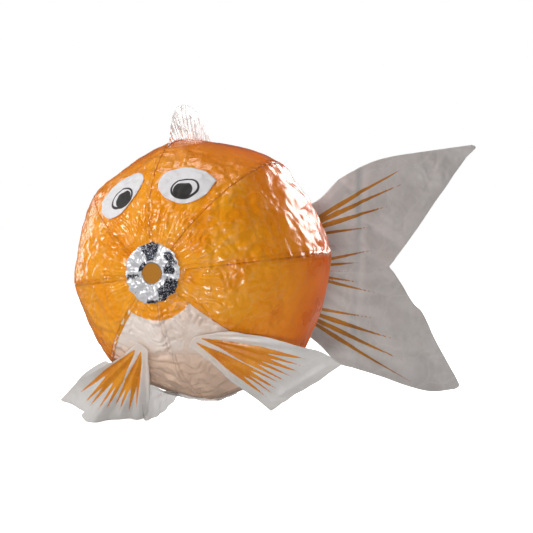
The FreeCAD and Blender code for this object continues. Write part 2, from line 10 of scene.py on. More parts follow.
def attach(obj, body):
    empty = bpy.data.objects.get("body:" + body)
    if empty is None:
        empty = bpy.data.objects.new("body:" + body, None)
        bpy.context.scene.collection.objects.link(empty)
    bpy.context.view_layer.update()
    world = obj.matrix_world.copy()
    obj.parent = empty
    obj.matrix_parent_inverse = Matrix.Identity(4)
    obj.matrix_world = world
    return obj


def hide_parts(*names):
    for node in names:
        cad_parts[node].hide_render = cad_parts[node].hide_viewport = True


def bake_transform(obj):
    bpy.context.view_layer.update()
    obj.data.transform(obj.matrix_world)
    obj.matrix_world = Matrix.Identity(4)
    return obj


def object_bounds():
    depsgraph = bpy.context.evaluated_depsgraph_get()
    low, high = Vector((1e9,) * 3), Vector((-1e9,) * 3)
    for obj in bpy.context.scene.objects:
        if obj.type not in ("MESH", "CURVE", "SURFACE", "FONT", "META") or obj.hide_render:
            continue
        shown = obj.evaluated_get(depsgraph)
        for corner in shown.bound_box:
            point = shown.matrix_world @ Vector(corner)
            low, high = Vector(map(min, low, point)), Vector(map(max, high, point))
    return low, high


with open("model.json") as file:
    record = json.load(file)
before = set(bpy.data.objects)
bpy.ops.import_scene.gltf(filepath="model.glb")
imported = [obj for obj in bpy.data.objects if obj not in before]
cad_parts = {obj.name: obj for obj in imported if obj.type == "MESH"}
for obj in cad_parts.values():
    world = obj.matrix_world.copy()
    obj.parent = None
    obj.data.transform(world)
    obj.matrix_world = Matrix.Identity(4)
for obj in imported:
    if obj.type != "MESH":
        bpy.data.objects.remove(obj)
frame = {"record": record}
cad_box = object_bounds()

# Lengths are worked out in millimetres, in the frame of the CAD model, and put into each mesh
# in metres by make_mesh.
MM = 0.001
JOINTS = {joint["name"]: joint for joint in frame["record"]["behaviour"]["joints"]}


def spot(name):
    """Where a fold line's middle is, in millimetres."""
    return np.array(JOINTS[name]["pos_m"]) / MM


CREST = spot("dorsal_fold")
CENTRE = np.array([0.0, CREST[1], 0.0])          # middle of the balloon
LEAN = math.atan2(-CREST[0], CREST[2])           # the fish rests rolled over by this

# The balloon, as it is cut: the middle of a gore is two crowns and two shoulders.
WIDEST, FRONT_DEPTH, REAR_DEPTH = 76.5, 67.5, 70.0
FRONT_CROWN, REAR_CROWN = 110.0, 100.0
FRONT_TIP, REAR_TIP = 7.0, 2.0
BULGE = 76.5
FIN_STATION, EYE_STATION = 45.0, 50.9             # from the axis to a fin's root, to an eye
HALF_GORE = math.radians(22.5)
PAPER, LAP = 0.12, 2.4                            # thickness, and the glued overlap
GORES = ("upper_side_left", "top_left", "top_right", "upper_side_right",
         "lower_side_right", "belly_right", "belly_left", "lower_side_left")


# --- camera --------------------------------------------------------------------------------

def make_camera():
    """Looks at the fish's left front from a little above, a short telephoto's distance away."""
    yaw, up, distance = math.radians(23.5), math.radians(2.5), 0.700
    data = bpy.data.cameras.new("camera")
    camera = bpy.data.objects.new("camera", data)
    bpy.context.collection.objects.link(camera)
    back = Vector((math.sin(yaw) * math.cos(up), -math.cos(yaw) * math.cos(up), math.sin(up)))
    camera.location = Vector(CENTRE) * MM + back * distance
    camera.rotation_mode = "QUATERNION"
    camera.rotation_quaternion = (-back).to_track_quat("-Z", "Y")
    data.sensor_width = 36
    data.lens = 77.96
    data.shift_x = 0.1233
    data.shift_y = 0.0037
    bpy.context.scene.camera = camera


# --- noise and folds, over arrays of points ------------------------------------------------

def lattice(ix, iy, iz, seed):
    h = (ix * 374761393 + iy * 668265263 + iz * 1103515245 + seed * 40503) & 0xFFFFFFFF
    h = ((h ^ (h >> 13)) * 1274126177) & 0xFFFFFFFF
    h = ((h ^ (h >> 15)) * 668265263) & 0xFFFFFFFF
    return ((h ^ (h >> 16)) & 0xFFFFFF) / 0x7FFFFF - 1.0


def noise(p, size, seed):
    """Smooth noise from -1 to 1, with lumps of about this size."""
    q = p / size
    low = np.floor(q).astype(np.int64)
    f = q - low
    f = f * f * f * (f * (f * 6 - 15) + 10)
    total = 0.0
    for dx in (0, 1):
        for dy in (0, 1):
            for dz in (0, 1):
                weight = ((f[:, 0] if dx else 1 - f[:, 0]) * (f[:, 1] if dy else 1 - f[:, 1])
                          * (f[:, 2] if dz else 1 - f[:, 2]))
                total = total + weight * lattice(low[:, 0] + dx, low[:, 1] + dy,
                                                 low[:, 2] + dz, seed)
    return total


def fold(x):
    """A sharp zigzag from -1 to 1, once for each whole number."""
    return 4 * np.abs(x - np.floor(x + 0.5)) - 1


def ease(x, low, high):
    t = np.clip((x - low) / (high - low), 0, 1)
    return t * t * (3 - 2 * t)


def crumple(p, size, seed, count=5):
    """Flat facets of about this size that meet in sharp folds, as in crushed paper."""
    rng = np.random.default_rng(seed)
    height = np.zeros(len(p))
    for i in range(count):
        way = rng.normal(size=3)
        way /= np.linalg.norm(way)
        wave = size * rng.uniform(1.2, 2.6)
        bend = 0.7 * noise(p, size * 1.7, seed * 31 + i)
        height += fold(p @ way / wave + bend + rng.uniform()) * wave / size
    return height / count / 1.9


# --- the balloon's skin --------------------------------------------------------------------

def meridian():
    """The line down the middle of a gore: length along it, reach, height and normal."""
    halves = []
    for depth, crown, side, tip in ((FRONT_DEPTH, FRONT_CROWN, -1, FRONT_TIP),
                                    (REAR_DEPTH, REAR_CROWN, 1, REAR_TIP)):
        arc = (2 * crown * depth - depth**2 - WIDEST**2) / (2 * (crown - WIDEST))
        centre, back = WIDEST - arc, crown - depth
        turn = math.atan2(back, centre)
        a = np.linspace(math.acos(tip / crown), turn, 80)
        b = np.linspace(turn, 0, 160)[1:]
        halves.append((
            np.concatenate([crown * np.cos(a), centre + arc * np.cos(b)]),
            side * np.concatenate([crown * np.sin(a) - back, arc * np.sin(b)]),
            np.concatenate([np.cos(a), np.cos(b)]),
            side * np.concatenate([np.sin(a), np.sin(b)]),
        ))
    front, rear = halves
    r, y, nr, ny = (np.concatenate([f, b[::-1][1:]]) for f, b in zip(front, rear))
    length = np.concatenate([[0], np.cumsum(np.hypot(np.diff(r), np.diff(y)))])
    return length, r, y, nr, ny


LINE = meridian()
GIRTH = LINE[0][-1]                               # length of a gore
EQUATOR = np.interp(0, LINE[2], LINE[0])
SHOULDER = (2 * FRONT_CROWN * FRONT_DEPTH - FRONT_DEPTH**2 - WIDEST**2) / (
    2 * (FRONT_CROWN - WIDEST))


def shoulder_normal(station):
    """Outward and forward parts of the skin's normal, this far from the balloon's axis."""
    outward = (station - WIDEST + SHOULDER) / SHOULDER
    return np.array([outward, -math.sqrt(1 - outward**2)])


def skin(middle, beta, along):
    """Points and normals of a gore without its creases."""
    r, y, nr, ny = (np.interp(along, LINE[0], row) for row in LINE[1:])
    reach = np.sqrt((BULGE * np.cos(beta))**2 + r**2 + 2 * BULGE * r) - BULGE * np.cos(beta)
    angle = middle + beta
    x, z = reach * np.cos(angle), reach * np.sin(angle)
    dx, dz = x + BULGE * math.cos(middle), z + BULGE * math.sin(middle)
    span = np.hypot(dx, dz)
    points = np.stack([x, y, z], axis=1) + CENTRE
    return points, np.stack([nr * dx / span, ny, nr * dz / span], axis=1), reach


def relief(middle, beta, along, pale):
    """How far creases, puckers and dents lift each point of a gore."""
    p, normal, reach = skin(middle, beta, along)
    q = p - CENTRE
    angle = middle + beta
    front = ease(-q[:, 1], -6, 52)
    calm = ease(reach, 13, 21)
    mouth = np.exp(-((reach - 31) / 15)**2) * (q[:, 1] < 0)
    warp = 0.75 * noise(p, 11, 5) + 0.35 * noise(p, 4.5, 6)
    gather = fold(angle * 34 / math.tau + warp) * (0.75 + 0.5 * noise(p, 17, 7))
    fine = fold(angle * 71 / math.tau + 1.3 * warp + 0.2)
    height = 0.30 * mouth * gather + 0.13 * mouth * fine
    height += front * (1.0 * crumple(p, 8, 11) + 0.50 * crumple(p, 3.6, 12))
    height += 0.85 * crumple(p, 30, 13) + 0.05 * crumple(p, 6, 14)
    height += 0.9 * noise(p, 46, 15)
    patchy = ease(noise(p, 24, 16), 0.12, 0.5)
    height += 0.5 * patchy * crumple(p, 6, 17)
    seam = (HALF_GORE - np.abs(beta)) * reach
    pucker = np.exp(-np.clip(seam, 0, None) / 5) * fold(along / 7.5 + 0.8 * noise(p, 9, 18))
    height += 0.30 * pucker - 0.55 * np.exp(-np.abs(seam) / 1.6)
    belt = np.abs(q[:, 1] - 9 - 2.5 * noise(p, 40, 19))
    height += 1.1 * np.clip(1 - belt / 7, 0, 1) * (0.6 + 0.4 * noise(p, 20, 20))
    # the shoulder of each flank is crushed into crisp facets
    crushed = ease(np.abs(q[:, 0]), 22, 44) * ease(q[:, 2], -4, 16) * ease(q[:, 1], -40, -12)
    height += crushed * (1.25 * crumple(p, 13, 23) + 0.55 * crumple(p, 6, 24))
    if pale:
        # the bib bags out towards the mouth and tucks in along one buckled line
        inner = (2 * HALF_GORE - np.abs(angle - 1.5 * math.pi - LEAN)) * reach
        line = 49 + 2.5 * noise(p, 14, 21) + 3 * np.sin(angle * 5)
        bag = ease(reach, 36, 49) * (1 - ease(reach - line, -1.2, 1.0)) * (q[:, 1] < 0)
        tuck = np.exp(-((reach - line - 1) / 2.2)**2) * (q[:, 1] < 0)
        folds = 0.75 * front * fold(reach / 6 + 1.1 * noise(p, 9, 22))
        height += ease(inner, 0, 7) * (1.6 * bag - 2.2 * tuck + folds)
        # it lies flat under the roots of the two fins pasted on it
        for name in ("pectoral_left_fold", "pectoral_right_fold"):
            away = np.linalg.norm(p - spot(name), axis=1)
            height = np.where(away < 34, np.minimum(height, away**2 / 260 - 0.9), height)
    return p, normal, reach, height * calm, seam


# --- meshes --------------------------------------------------------------------------------

def make_mesh(name, points, faces, **values):
    """A smooth-shaded mesh from points in millimetres, with a value at each point."""
    mesh = bpy.data.meshes.new(name)
    mesh.from_pydata([tuple(p) for p in np.asarray(points) * MM], [], faces)
    for key, numbers in values.items():
        layer = mesh.attributes.new(key, "FLOAT", "POINT")
        layer.data.foreach_set("value", np.asarray(numbers, dtype=np.float32))
    mesh.shade_smooth()
    mesh.update()
    piece = bpy.data.objects.new(name, mesh)
    bpy.context.collection.objects.link(piece)
    return piece


def grid_faces(rows, columns, flip=False):
    index = np.arange(rows * columns).reshape(rows, columns)
    a, b, c, d = index[:-1, :-1], index[1:, :-1], index[1:, 1:], index[:-1, 1:]
    quads = np.stack([a, b, c, d], axis=-1).reshape(-1, 4)
    return (quads[:, ::-1] if flip else quads).tolist()


def thicken(piece, thickness, offset, inside=False):
    wall = piece.modifiers.new("paper", "SOLIDIFY")
    wall.thickness = thickness * MM
    wall.offset = offset
    if inside:
        wall.material_offset = 1


def make_gore(node, middle, pale):
    """One gore, with a lap that runs on over its neighbour's edge."""
    rows, columns = 300, 92
    share = np.linspace(0, 1, rows)
    along = GIRTH * (0.42 * share + 0.58 * share**1.25)
    across = np.linspace(-HALF_GORE, HALF_GORE, columns)
    s, beta = np.meshgrid(along, across, indexing="ij")
    p, normal, reach, height, seam = relief(middle, beta.ravel(), s.ravel(), pale)
    # the lap: one more column past the far seam, a paper's thickness higher
    lap_reach = np.interp(along, LINE[0], LINE[1]) * 1.04
    lap_beta = HALF_GORE + LAP / np.maximum(lap_reach, 9)
    over = middle + 2 * HALF_GORE
    beside = over > math.pi + LEAN + 2 * HALF_GORE and over < math.tau + LEAN - 2 * HALF_GORE
    q, lap_normal, _, lap_height, _ = relief(over, lap_beta - 2 * HALF_GORE, along, beside)
    grid = (p + normal * height[:, None]).reshape(rows, columns, 3)
    # a belly gore is glued under its orange neighbour, and every other gore over the next
    lap = q + lap_normal * (lap_height + (-0.3 if pale and not beside else 0.22))[:, None]
    grid = np.concatenate([grid, lap[:, None, :]], axis=1)
    edge = np.concatenate([seam.reshape(rows, columns), np.full((rows, 1), -LAP)], axis=1)
    far = np.concatenate([reach.reshape(rows, columns), lap_reach[:, None]], axis=1)
    side = np.concatenate([(beta * reach.reshape(rows, columns)), (lap_beta * lap_reach)[:, None]],
                          axis=1)
    piece = make_mesh(node.replace("gore", "paper"), grid.reshape(-1, 3),
                      grid_faces(rows, columns + 1), edge=edge.ravel(), reach=far.ravel(),
                      side=side.ravel())
    thicken(piece, PAPER, -1, inside=True)
    return piece


def make_disc(name, end, hole, rim, rough, lift):
    """A pasted disc with a torn edge, wrinkled over the gores' tips."""
    rows, columns = 64, 300
    angle = np.linspace(0, math.tau, columns, endpoint=False)
    ring = np.stack([np.cos(angle), np.zeros(columns), np.sin(angle)], axis=1)
    torn = rim + rough * (0.7 * noise(ring * 20, 7, 41) + 0.5 * noise(ring * 20, 2.2, 42)
                          + 0.35 * fold(angle * 22 / math.tau + noise(ring * 20, 9, 43)))
    share = np.linspace(0, 1, rows)[:, None]
    r = hole + (torn - hole) * share
    side, depth, crown = (-1, FRONT_DEPTH, FRONT_CROWN) if end == "front" else (
        1, REAR_DEPTH, REAR_CROWN)
    a = np.broadcast_to(angle, r.shape)
    flat = np.stack([r * np.cos(a), np.zeros(r.shape), r * np.sin(a)], axis=-1).reshape(-1, 3)
    rr, aa = r.ravel(), a.ravel()
    middle_wave = np.clip(np.sin(math.pi * np.broadcast_to(share, r.shape).ravel()), 0, 1)
    spokes = fold(aa * 13 / math.tau + 0.6 * noise(flat, 8, 44))
    height = middle_wave * (0.42 * spokes + 0.55 * crumple(flat, 4.5, 45)) + 0.30 * crumple(
        flat, 2.2, 46)
    height += 0.35 * noise(flat, 9, 47) - 0.5 * np.exp(-(rr - hole) / 0.8) * (hole > 0)
    out = crown + lift + 0.55 + np.maximum(0.8 * height, -0.45)
    y = side * (np.sqrt(out**2 - rr**2) - (crown - depth))
    points = np.stack([rr * np.cos(aa), y, rr * np.sin(aa)], axis=1) + CENTRE
    index = np.arange(rows * columns).reshape(rows, columns)
    nxt = np.roll(index, -1, axis=1)
    quads = np.stack([index[:-1], nxt[:-1], nxt[1:], index[1:]], axis=-1).reshape(-1, 4)
    if side > 0:
        quads = quads[:, ::-1]
    piece = make_mesh(name, points, quads.tolist(), reach=rr, turn=aa)
    thicken(piece, 0.1, 1)
    return piece


def glue_line_tree():
    """Sweeps a thin uneven bead along every line of the mesh it is given."""
    tree = bpy.data.node_groups.new("glue_line", "GeometryNodeTree")
    for label, kind in (("Geometry", "NodeSocketGeometry"), ("Radius", "NodeSocketFloat"),
                        ("Lump", "NodeSocketFloat"), ("Sides", "NodeSocketInt"),
                        ("Material", "NodeSocketMaterial")):
        tree.interface.new_socket(label, in_out="INPUT", socket_type=kind)
    tree.interface.new_socket("Geometry", in_out="OUTPUT", socket_type="NodeSocketGeometry")
    g = Graph(tree)
    source, sink = g.node("NodeGroupInput"), g.node("NodeGroupOutput")
    curve = g.node("GeometryNodeMeshToCurve", {"Mesh": source.outputs["Geometry"]})
    lumps = g.noise(g.node("GeometryNodeInputPosition").outputs[0],
                    g.math("DIVIDE", 1.0, source.outputs["Lump"]), 2.0)
    uneven = g.node("GeometryNodeSetCurveRadius", {
        "Curve": curve.outputs[0], "Radius": g.span(lumps, 0.3, 0.7, 0.55, 1.25)})
    profile = g.node("GeometryNodeCurvePrimitiveCircle", {
        "Resolution": source.outputs["Sides"], "Radius": source.outputs["Radius"]})
    sweep = g.node("GeometryNodeCurveToMesh", {
        "Curve": uneven.outputs[0], "Profile Curve": profile.outputs[0], "Fill Caps": True,
        "Scale": g.node("GeometryNodeInputRadius").outputs[0]})
    whole = g.node("GeometryNodeRealizeInstances", {0: sweep.outputs[0]})
    painted = g.node("GeometryNodeSetMaterial", {
        "Geometry": whole.outputs[0], "Material": source.outputs["Material"]})
    g.put(sink.inputs["Geometry"], painted.outputs[0])
    return tree


def make_glue_lines(name, seams, material):
    """The edge of the glued paper stands up as a fine bead along these seams."""
    along = np.linspace(0.15, 0.95, 320) * GIRTH
    points, edges = [], []
    for number in seams:
        middle = (2 * number + 1) * HALF_GORE + LEAN
        pale = GORES[number].startswith("belly")
        p, normal, _, height, _ = relief(middle, np.full(len(along), HALF_GORE), along, pale)
        start = len(points)
        points += list(p + normal * (height + 0.10)[:, None])
        edges += [(i, i + 1) for i in range(start, len(points) - 1)]
    mesh = bpy.data.meshes.new("seams")
    mesh.from_pydata([tuple(np.array(p) * MM) for p in points], edges, [])
    lines = bpy.data.objects.new("seams", mesh)
    bpy.context.collection.objects.link(lines)
    bead = lines.modifiers.new("bead", "NODES")
    bead.node_group = glue_line_tree()
    sizes = {"Radius": 0.22 * MM, "Lump": 3 * MM, "Sides": 7, "Material": material}
    for socket in bead.node_group.interface.items_tree:
        if socket.in_out == "INPUT" and socket.name in sizes:
            bead[socket.identifier] = sizes[socket.name]
    swept = lines.evaluated_get(bpy.context.evaluated_depsgraph_get())
    made = bpy.data.meshes.new_from_object(swept)
    bpy.data.objects.remove(lines)
    piece = bpy.data.objects.new(name, made)
    bpy.context.collection.objects.link(piece)
    made.shade_smooth()
    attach(piece, "balloon")
    return piece


# --- flat sheets ---------------------------------------------------------------------------

def outline(runs, gap):
    """A closed outline from runs of corners; each run is one smooth curve."""
    line = []
    for run in runs:
        k = np.array(run, dtype=float)
        if len(k) == 2:
            count = max(2, int(np.linalg.norm(k[1] - k[0]) / gap))
            t = np.linspace(0, 1, count, endpoint=False)[:, None]
            line.append(k[0] + (k[1] - k[0]) * t)
            continue
        ends = np.concatenate([[2 * k[0] - k[1]], k, [2 * k[-1] - k[-2]]])
        for a, b, c, d in zip(ends[:-3], ends[1:-2], ends[2:-1], ends[3:]):
            count = max(2, int(np.linalg.norm(c - b) / gap))
            t = np.linspace(0, 1, count, endpoint=False)[:, None]
            line.append(0.5 * (2 * b + (c - a) * t + (2 * a - 5 * b + 4 * c - d) * t**2
                               + (3 * b - a - 3 * c + d) * t**3))
    return np.concatenate(line)


def from_line(p, line):
    """Distance of each point from a closed line, and whether it is inside."""
    a, b = line, np.roll(line, -1, axis=0)
    near = np.full(len(p), 1e9)
    inside = np.zeros(len(p), dtype=bool)
    for (ax, ay), (bx, by) in zip(a, b):
        ex, ey = bx - ax, by - ay
        t = np.clip(((p[:, 0] - ax) * ex + (p[:, 1] - ay) * ey) / (ex * ex + ey * ey), 0, 1)
        near = np.minimum(near, np.hypot(p[:, 0] - ax - t * ex, p[:, 1] - ay - t * ey))
        crosses = (ay > p[:, 1]) != (by > p[:, 1])
        if crosses.any():
            at = ax + (p[:, 1] - ay) * ex / (ey if ey else 1e-9)
            inside ^= crosses & (p[:, 0] < at)
    return near, inside


def fill(line, gap):
    """Points and triangles over the inside of a closed line."""
    (x0, y0), (x1, y1) = line.min(axis=0), line.max(axis=0)
    rows = np.arange(y0, y1, gap * 0.866)
    grid = [np.stack([np.arange(x0 + (i % 2) * gap / 2, x1, gap),
                      np.full(len(np.arange(x0 + (i % 2) * gap / 2, x1, gap)), y)], axis=1)
            for i, y in enumerate(rows)]
    grid = np.concatenate(grid)
    near, inside = from_line(grid, line)
    grid = grid[inside & (near > 0.5 * gap)]
    points = [Vector(p) for p in np.concatenate([line, grid])]
    border = [(i, (i + 1) % len(line)) for i in range(len(line))]
    made = delaunay_2d_cdt(points, border, [list(range(len(line)))], 1, 1e-6)
    return np.array([tuple(v) for v in made[0]]), [list(f) for f in made[2]]


def rays(p, spokes):
    """Distance to the nearest printed ray; below zero is ink.

    A ray is (root, tip, width, where it is widest, how far it bows).
    """
    best = np.full(len(p), 9.0)
    for root, tip, width, peak, bow in spokes:
        root, tip = np.array(root, float), np.array(tip, float)
        way = tip - root
        span = np.linalg.norm(way)
        way /= span
        rel = p - root
        t = np.clip(rel @ way / span, 0, 1)
        off = rel @ np.array([-way[1], way[0]]) - bow * 4 * t * (1 - t)
        ends = np.maximum(np.maximum(-(rel @ way), rel @ way - span), 0)
        half = width / 2 * np.minimum(0.18 + 0.82 * t / peak, (1 - t) / (1 - peak))
        best = np.minimum(best, np.hypot(np.maximum(np.abs(off) - half, 0), ends)
                          + np.minimum(np.abs(off) - half, 0) * (ends == 0))
    return best


def crease(p, start, end, width):
    """A ridge along a line from start to end, one high in its middle."""
    start, end = np.array(start, float), np.array(end, float)
    way = end - start
    span = np.linalg.norm(way)
    t = np.clip((p - start) @ way / span**2, 0, 1)
    near = np.linalg.norm(p - start - t[:, None] * way, axis=1)
    return np.clip(1 - near / width, 0, 1) * np.minimum(1, 6 * np.minimum(t, 1 - t) + 0.3)


def make_sheet(name, line, gap, place, shape, spokes):
    """A sheet of paper: place turns its flat points into space, shape lifts them."""
    flat, faces = fill(line, gap)
    points, normal = place(flat)
    height, pressed = shape(flat)
    ink = rays(flat, spokes) + 0.12 * noise(np.c_[flat, flat[:, 0]], 1.4, 71)
    piece = make_mesh(name, points + normal * height[:, None], faces, ink=ink, pressed=pressed,
                      along=flat[:, 1], side=flat[:, 0])
    thicken(piece, PAPER, 0)
    return piece


def fold_on(piece, fin, tab):
    """The sheet stands for a fin and its glued tab, whose parts it hides."""
    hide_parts(fin, tab)
    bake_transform(piece)
    return piece


def plane(origin, across, out, back=None):
    """Turns flat points into space; before the fold line the sheet runs back another way."""
    across, out = (np.array(v, float) / np.linalg.norm(v) for v in (across, out))
    back = out if back is None else np.array(back, float)

    def put(flat):
        ahead = (flat[:, 1] > 0)[:, None]
        way = np.where(ahead, out, back)
        points = origin + flat[:, :1] * across + flat[:, 1:] * way
        normal = np.cross(across, way)
        return points, normal / np.linalg.norm(normal, axis=1)[:, None]
    return put


def seam_depth(y):
    """How far below a fold line the seam is, at a distance along the balloon."""
    r = np.interp(y, LINE[2], LINE[1])
    across = BULGE * math.cos(HALF_GORE)
    reach = np.sqrt(across**2 + r**2 + 2 * BULGE * r) - across
    return math.hypot(CREST[0], CREST[2]) - reach


def wave3(flat, size, seed):
    return noise(np.c_[flat, 0 * flat[:, 0]], size, seed)


def crush(flat, size, seed):
    return crumple(np.c_[flat, 0.3 * flat[:, 0]], size, seed)


# --- fins ----------------------------------------------------------------------------------

def make_tail():
    origin = spot("tail_swing")
    side = math.radians(38)
    place = plane(origin, (0, 0, 1), (math.cos(side), math.sin(side), 0), back=(0, 1, 0))
    runs = [
        [(-24, -3.2), (0, -2.2), (24, -3.2)],
        [(24, -3.2), (24, 1), (33, 22), (41, 49), (57, 67.5), (66.5, 86), (72.3, 104),
         (77.5, 137), (81.6, 166)],
        [(81.6, 166), (80, 169.5), (73, 162.5)],
        [(73, 162.5), (44, 140.5), (19, 121.5), (-2.6, 104)],
        [(-2.6, 104), (-15, 113.5), (-28, 122), (-36, 130), (-57, 141), (-82, 156.5),
         (-87.5, 158.5), (-89.6, 155)],
        [(-89.6, 155), (-90.4, 137), (-86, 119), (-79, 100), (-72, 78.5), (-67.5, 65.5),
         (-54, 51.5), (-34, 24), (-24, 1), (-24, -3.2)],
    ]

    def shape(flat):
        up, out = flat[:, 0], flat[:, 1]
        body = ease(out, 3, 34)
        fan = np.arctan2(up, out + 26)
        height = body * (0.55 * fold(fan * 9 + 0.6 * wave3(flat, 26, 81)) * (1 - ease(out, 60, 150))
                         + 1.3 * wave3(flat, 60, 82) + 1.1 * crush(flat, 24, 83)
                         + 0.34 * crush(flat, 8, 84))
        packed = crease(flat, (69, 86), (-73, 78.5), 4)
        notch = crease(flat, (-2.6, 103), (9, 82), 5)
        cross = crease(flat, (29, 85), (10, 115), 6) + 0.8 * crease(flat, (57, 66), (47, 80), 4)
        low = crease(flat, (-60, 122), (-72, 142), 6) + crease(flat, (66, 130), (58, 158), 7)
        height += 1.1 * packed + 0.9 * notch + 1.2 * cross + 0.8 * low
        height += 2.2 * ease(out, 78, 84) * ease(np.abs(up), 5, 60)
        height += 0.5 * crush(flat, 5, 85) * ease(wave3(flat, 22, 86), 0.15, 0.5)
        return height, np.clip(packed + 0.7 * cross + 0.6 * notch, 0, 1)

    top, mid, low = (16, 26), (-4, 29), (-25, 25)
    spokes = [
        (top, (69, 124), 3.3, 0.4, -1.0), (top, (57, 122), 3.4, 0.4, -0.8),
        (top, (40, 109), 3.5, 0.45, -0.8), (top, (25, 98), 2.0, 0.5, -0.6),
        (mid, (9.5, 98), 2.2, 0.5, -0.8), (mid, (0.5, 87), 2.0, 0.55, -0.6),
        (mid, (-6, 83), 1.0, 0.5, 0), (mid, (-14, 88), 1.9, 0.5, 0.5),
        (mid, (-22, 100), 2.1, 0.5, 0.6),
        (low, (-39, 99), 2.1, 0.45, 0.5), (low, (-54, 112), 3.4, 0.45, 0.8),
        (low, (-70, 120), 3.2, 0.42, 0.9), (low, (-84, 123), 3.0, 0.4, 1.0),
    ]
    piece = make_sheet("tail_sheet", outline(runs, 1.3), 1.15, place, shape, spokes)
    return fold_on(piece, "tail_fin", "tail_tab")


def make_dorsal():
    origin = CREST
    out = np.array([-math.sin(LEAN), 0, math.cos(LEAN)])
    place = plane(origin, (0, 1, 0), out)
    y = np.linspace(-28.5, 38, 40)
    foot = [(a, -seam_depth(a) - 0.9) for a in y]
    runs = [foot, [foot[-1], (37.5, -4), (36, 0.5), (31, 6), (27, 11.5), (22, 15.5), (15.6, 17.9),
                   (9, 18.6), (2, 18.7), (-4, 17.6), (-9, 15.8), (-14, 12.6), (-17.5, 9.2),
                   (-21, 2), (-24.5, -4), foot[0]]]

    def shape(flat):
        along, up = flat[:, 0], flat[:, 1]
        root = ease(up, -9, 3)
        fan = (along - 4) / (0.62 + 0.020 * (up + 10))
        tight = 1.15 - 0.4 * ease(up, 4, 18)
        height = tight * 0.20 * fold(fan / 5.2 + 0.45 * wave3(flat, 12, 91))
        height += 0.08 * fold(fan / 2.5 + 0.8 * wave3(flat, 7, 92))
        height += 0.22 * crush(flat, 4.5, 93) + 0.9 * wave3(flat, 22, 94) * root
        return height * (0.25 + 0.75 * root), np.zeros(len(flat))

    rng = np.random.default_rng(95)
    spokes = []
    for x in np.linspace(-25, 33, 19):
        base = x + rng.uniform(-1, 1)
        foot_up = -seam_depth(base) - 1
        reach = rng.uniform(5, 9) + 4 * (1 - abs(base - 2) / 30)
        lean = (base - 4) * 0.012
        spokes.append(((base, foot_up), (base + lean * reach * 1.6, foot_up + reach),
                       rng.uniform(0.9, 2.2), 0.2, 0))
    piece = make_sheet("dorsal_sheet", outline(runs, 0.9), 0.62, place, shape, spokes)
    return fold_on(piece, "dorsal_fin", "dorsal_tab")


def under_belly(origin, down):
    """Turns the belly fin's flat points into space.

    The sheet leaves the bottom seam, lies along the belly as far as wrap, and hangs from there.
    """
    wrap, bend = 29.0, 3.0
    low = np.array([-0.12, 0, -0.993])

    def path(along, out):
        radius = math.hypot(CREST[0], CREST[2])
        near = radius - seam_depth(along) - 1.0
        share = ease(out, 0, 16)
        rho = radius * (1 - share) + near * share
        angle = LEAN - np.clip(out, None, wrap) / WIDEST
        inward = np.stack([np.sin(angle), 0 * out, -np.cos(angle)], axis=1)
        tangent = np.stack([-np.cos(angle), 0 * out, -np.sin(angle)], axis=1)
        past = np.clip(out - wrap, 0, None)
        turning = bend * (1 - np.exp(-past / bend))
        points = inward * rho[:, None] + tangent * turning[:, None]
        points = points + low * (past - turning)[:, None]
        points[:, 1] = along
        return points + CENTRE

    def put(flat):
        along, out = flat[:, 0], flat[:, 1]
        ahead = (out > 0)[:, None]
        reach = np.clip(out, 0, None)
        tab = origin + np.outer(along, (0, 1, 0)) + np.outer(out, down)
        points = np.where(ahead, path(along, reach), tab)
        way = np.where(ahead, path(along, reach + 0.1) - path(along, reach), down)
        normal = np.cross((0, 1, 0), way)
        return points, normal / np.linalg.norm(normal, axis=1)[:, None]
    return put


def make_ventral():
    origin = spot("ventral_fold")
    down = np.array([math.sin(LEAN), 0, -math.cos(LEAN)])
    foot = [(a, -seam_depth(a) - 0.9) for a in np.linspace(2, 34, 24)]
    runs = [foot, [foot[-1], (35.5, 2), (38, 14), (37, 28), (31, 37)],
            [(31, 37), (12, 41.5), (-9, 47.5), (-27, 53)],
            [(-27, 53), (-32, 51), (-35, 42), (-33, 30), (-26, 20), (-14, 13), (-3, 9), (2, 2),
             foot[0]]]

    def shape(flat):
        along, out = flat[:, 0], flat[:, 1]
        hang = crease(flat, (14, 30), (-29, 42), 3.0)
        height = 0.35 * crush(flat, 9, 102) + 0.8 * wave3(flat, 25, 103) * ease(out, 4, 20)
        height += 0.9 * hang + 0.5 * fold(along / 13 + 0.4 * wave3(flat, 20, 101))
        return height * ease(out, -8, 5), np.clip(hang, 0, 1)

    spokes = [((10, 20), (-22, 42.5), 0.8, 0.5, 1.2), ((16, 18), (-8, 40), 0.9, 0.5, 0.8),
              ((22, 12), (14, 34), 1.1, 0.5, 0)]
    piece = make_sheet("ventral_sheet", outline(runs, 1.1), 0.85, under_belly(origin, down),
                       shape, spokes)
    return fold_on(piece, "ventral_fin", "ventral_tab")


def pectoral_frame(side, name):
    """The fold's middle, the way along it and the way down the middle of the fin."""
    origin = spot(name)
    joint = np.array(JOINTS[name]["axis"]) * -side
    middle = 1.5 * math.pi + HALF_GORE * side + LEAN
    normal = shoulder_normal(FIN_STATION)
    out = np.array([normal[0] * math.cos(middle), normal[1], normal[0] * math.sin(middle)])
    down = np.cross(out, joint) * side
    return origin, joint, -down, out


def make_pectoral(side_name, side, runs, spokes, shape):
    name = f"pectoral_{side_name}_fold"
    origin, across, down, out = pectoral_frame(side, name)
    turned = plane(origin, across, down)

    def place(flat):
        points, _ = turned(flat)
        return points, np.broadcast_to(out, points.shape)

    piece = make_sheet(f"pectoral_{side_name}_sheet", outline(runs, 1.0), 0.8, place, shape,
                       spokes)
    return fold_on(piece, f"pectoral_fin_{side_name}", f"pectoral_tab_{side_name}")


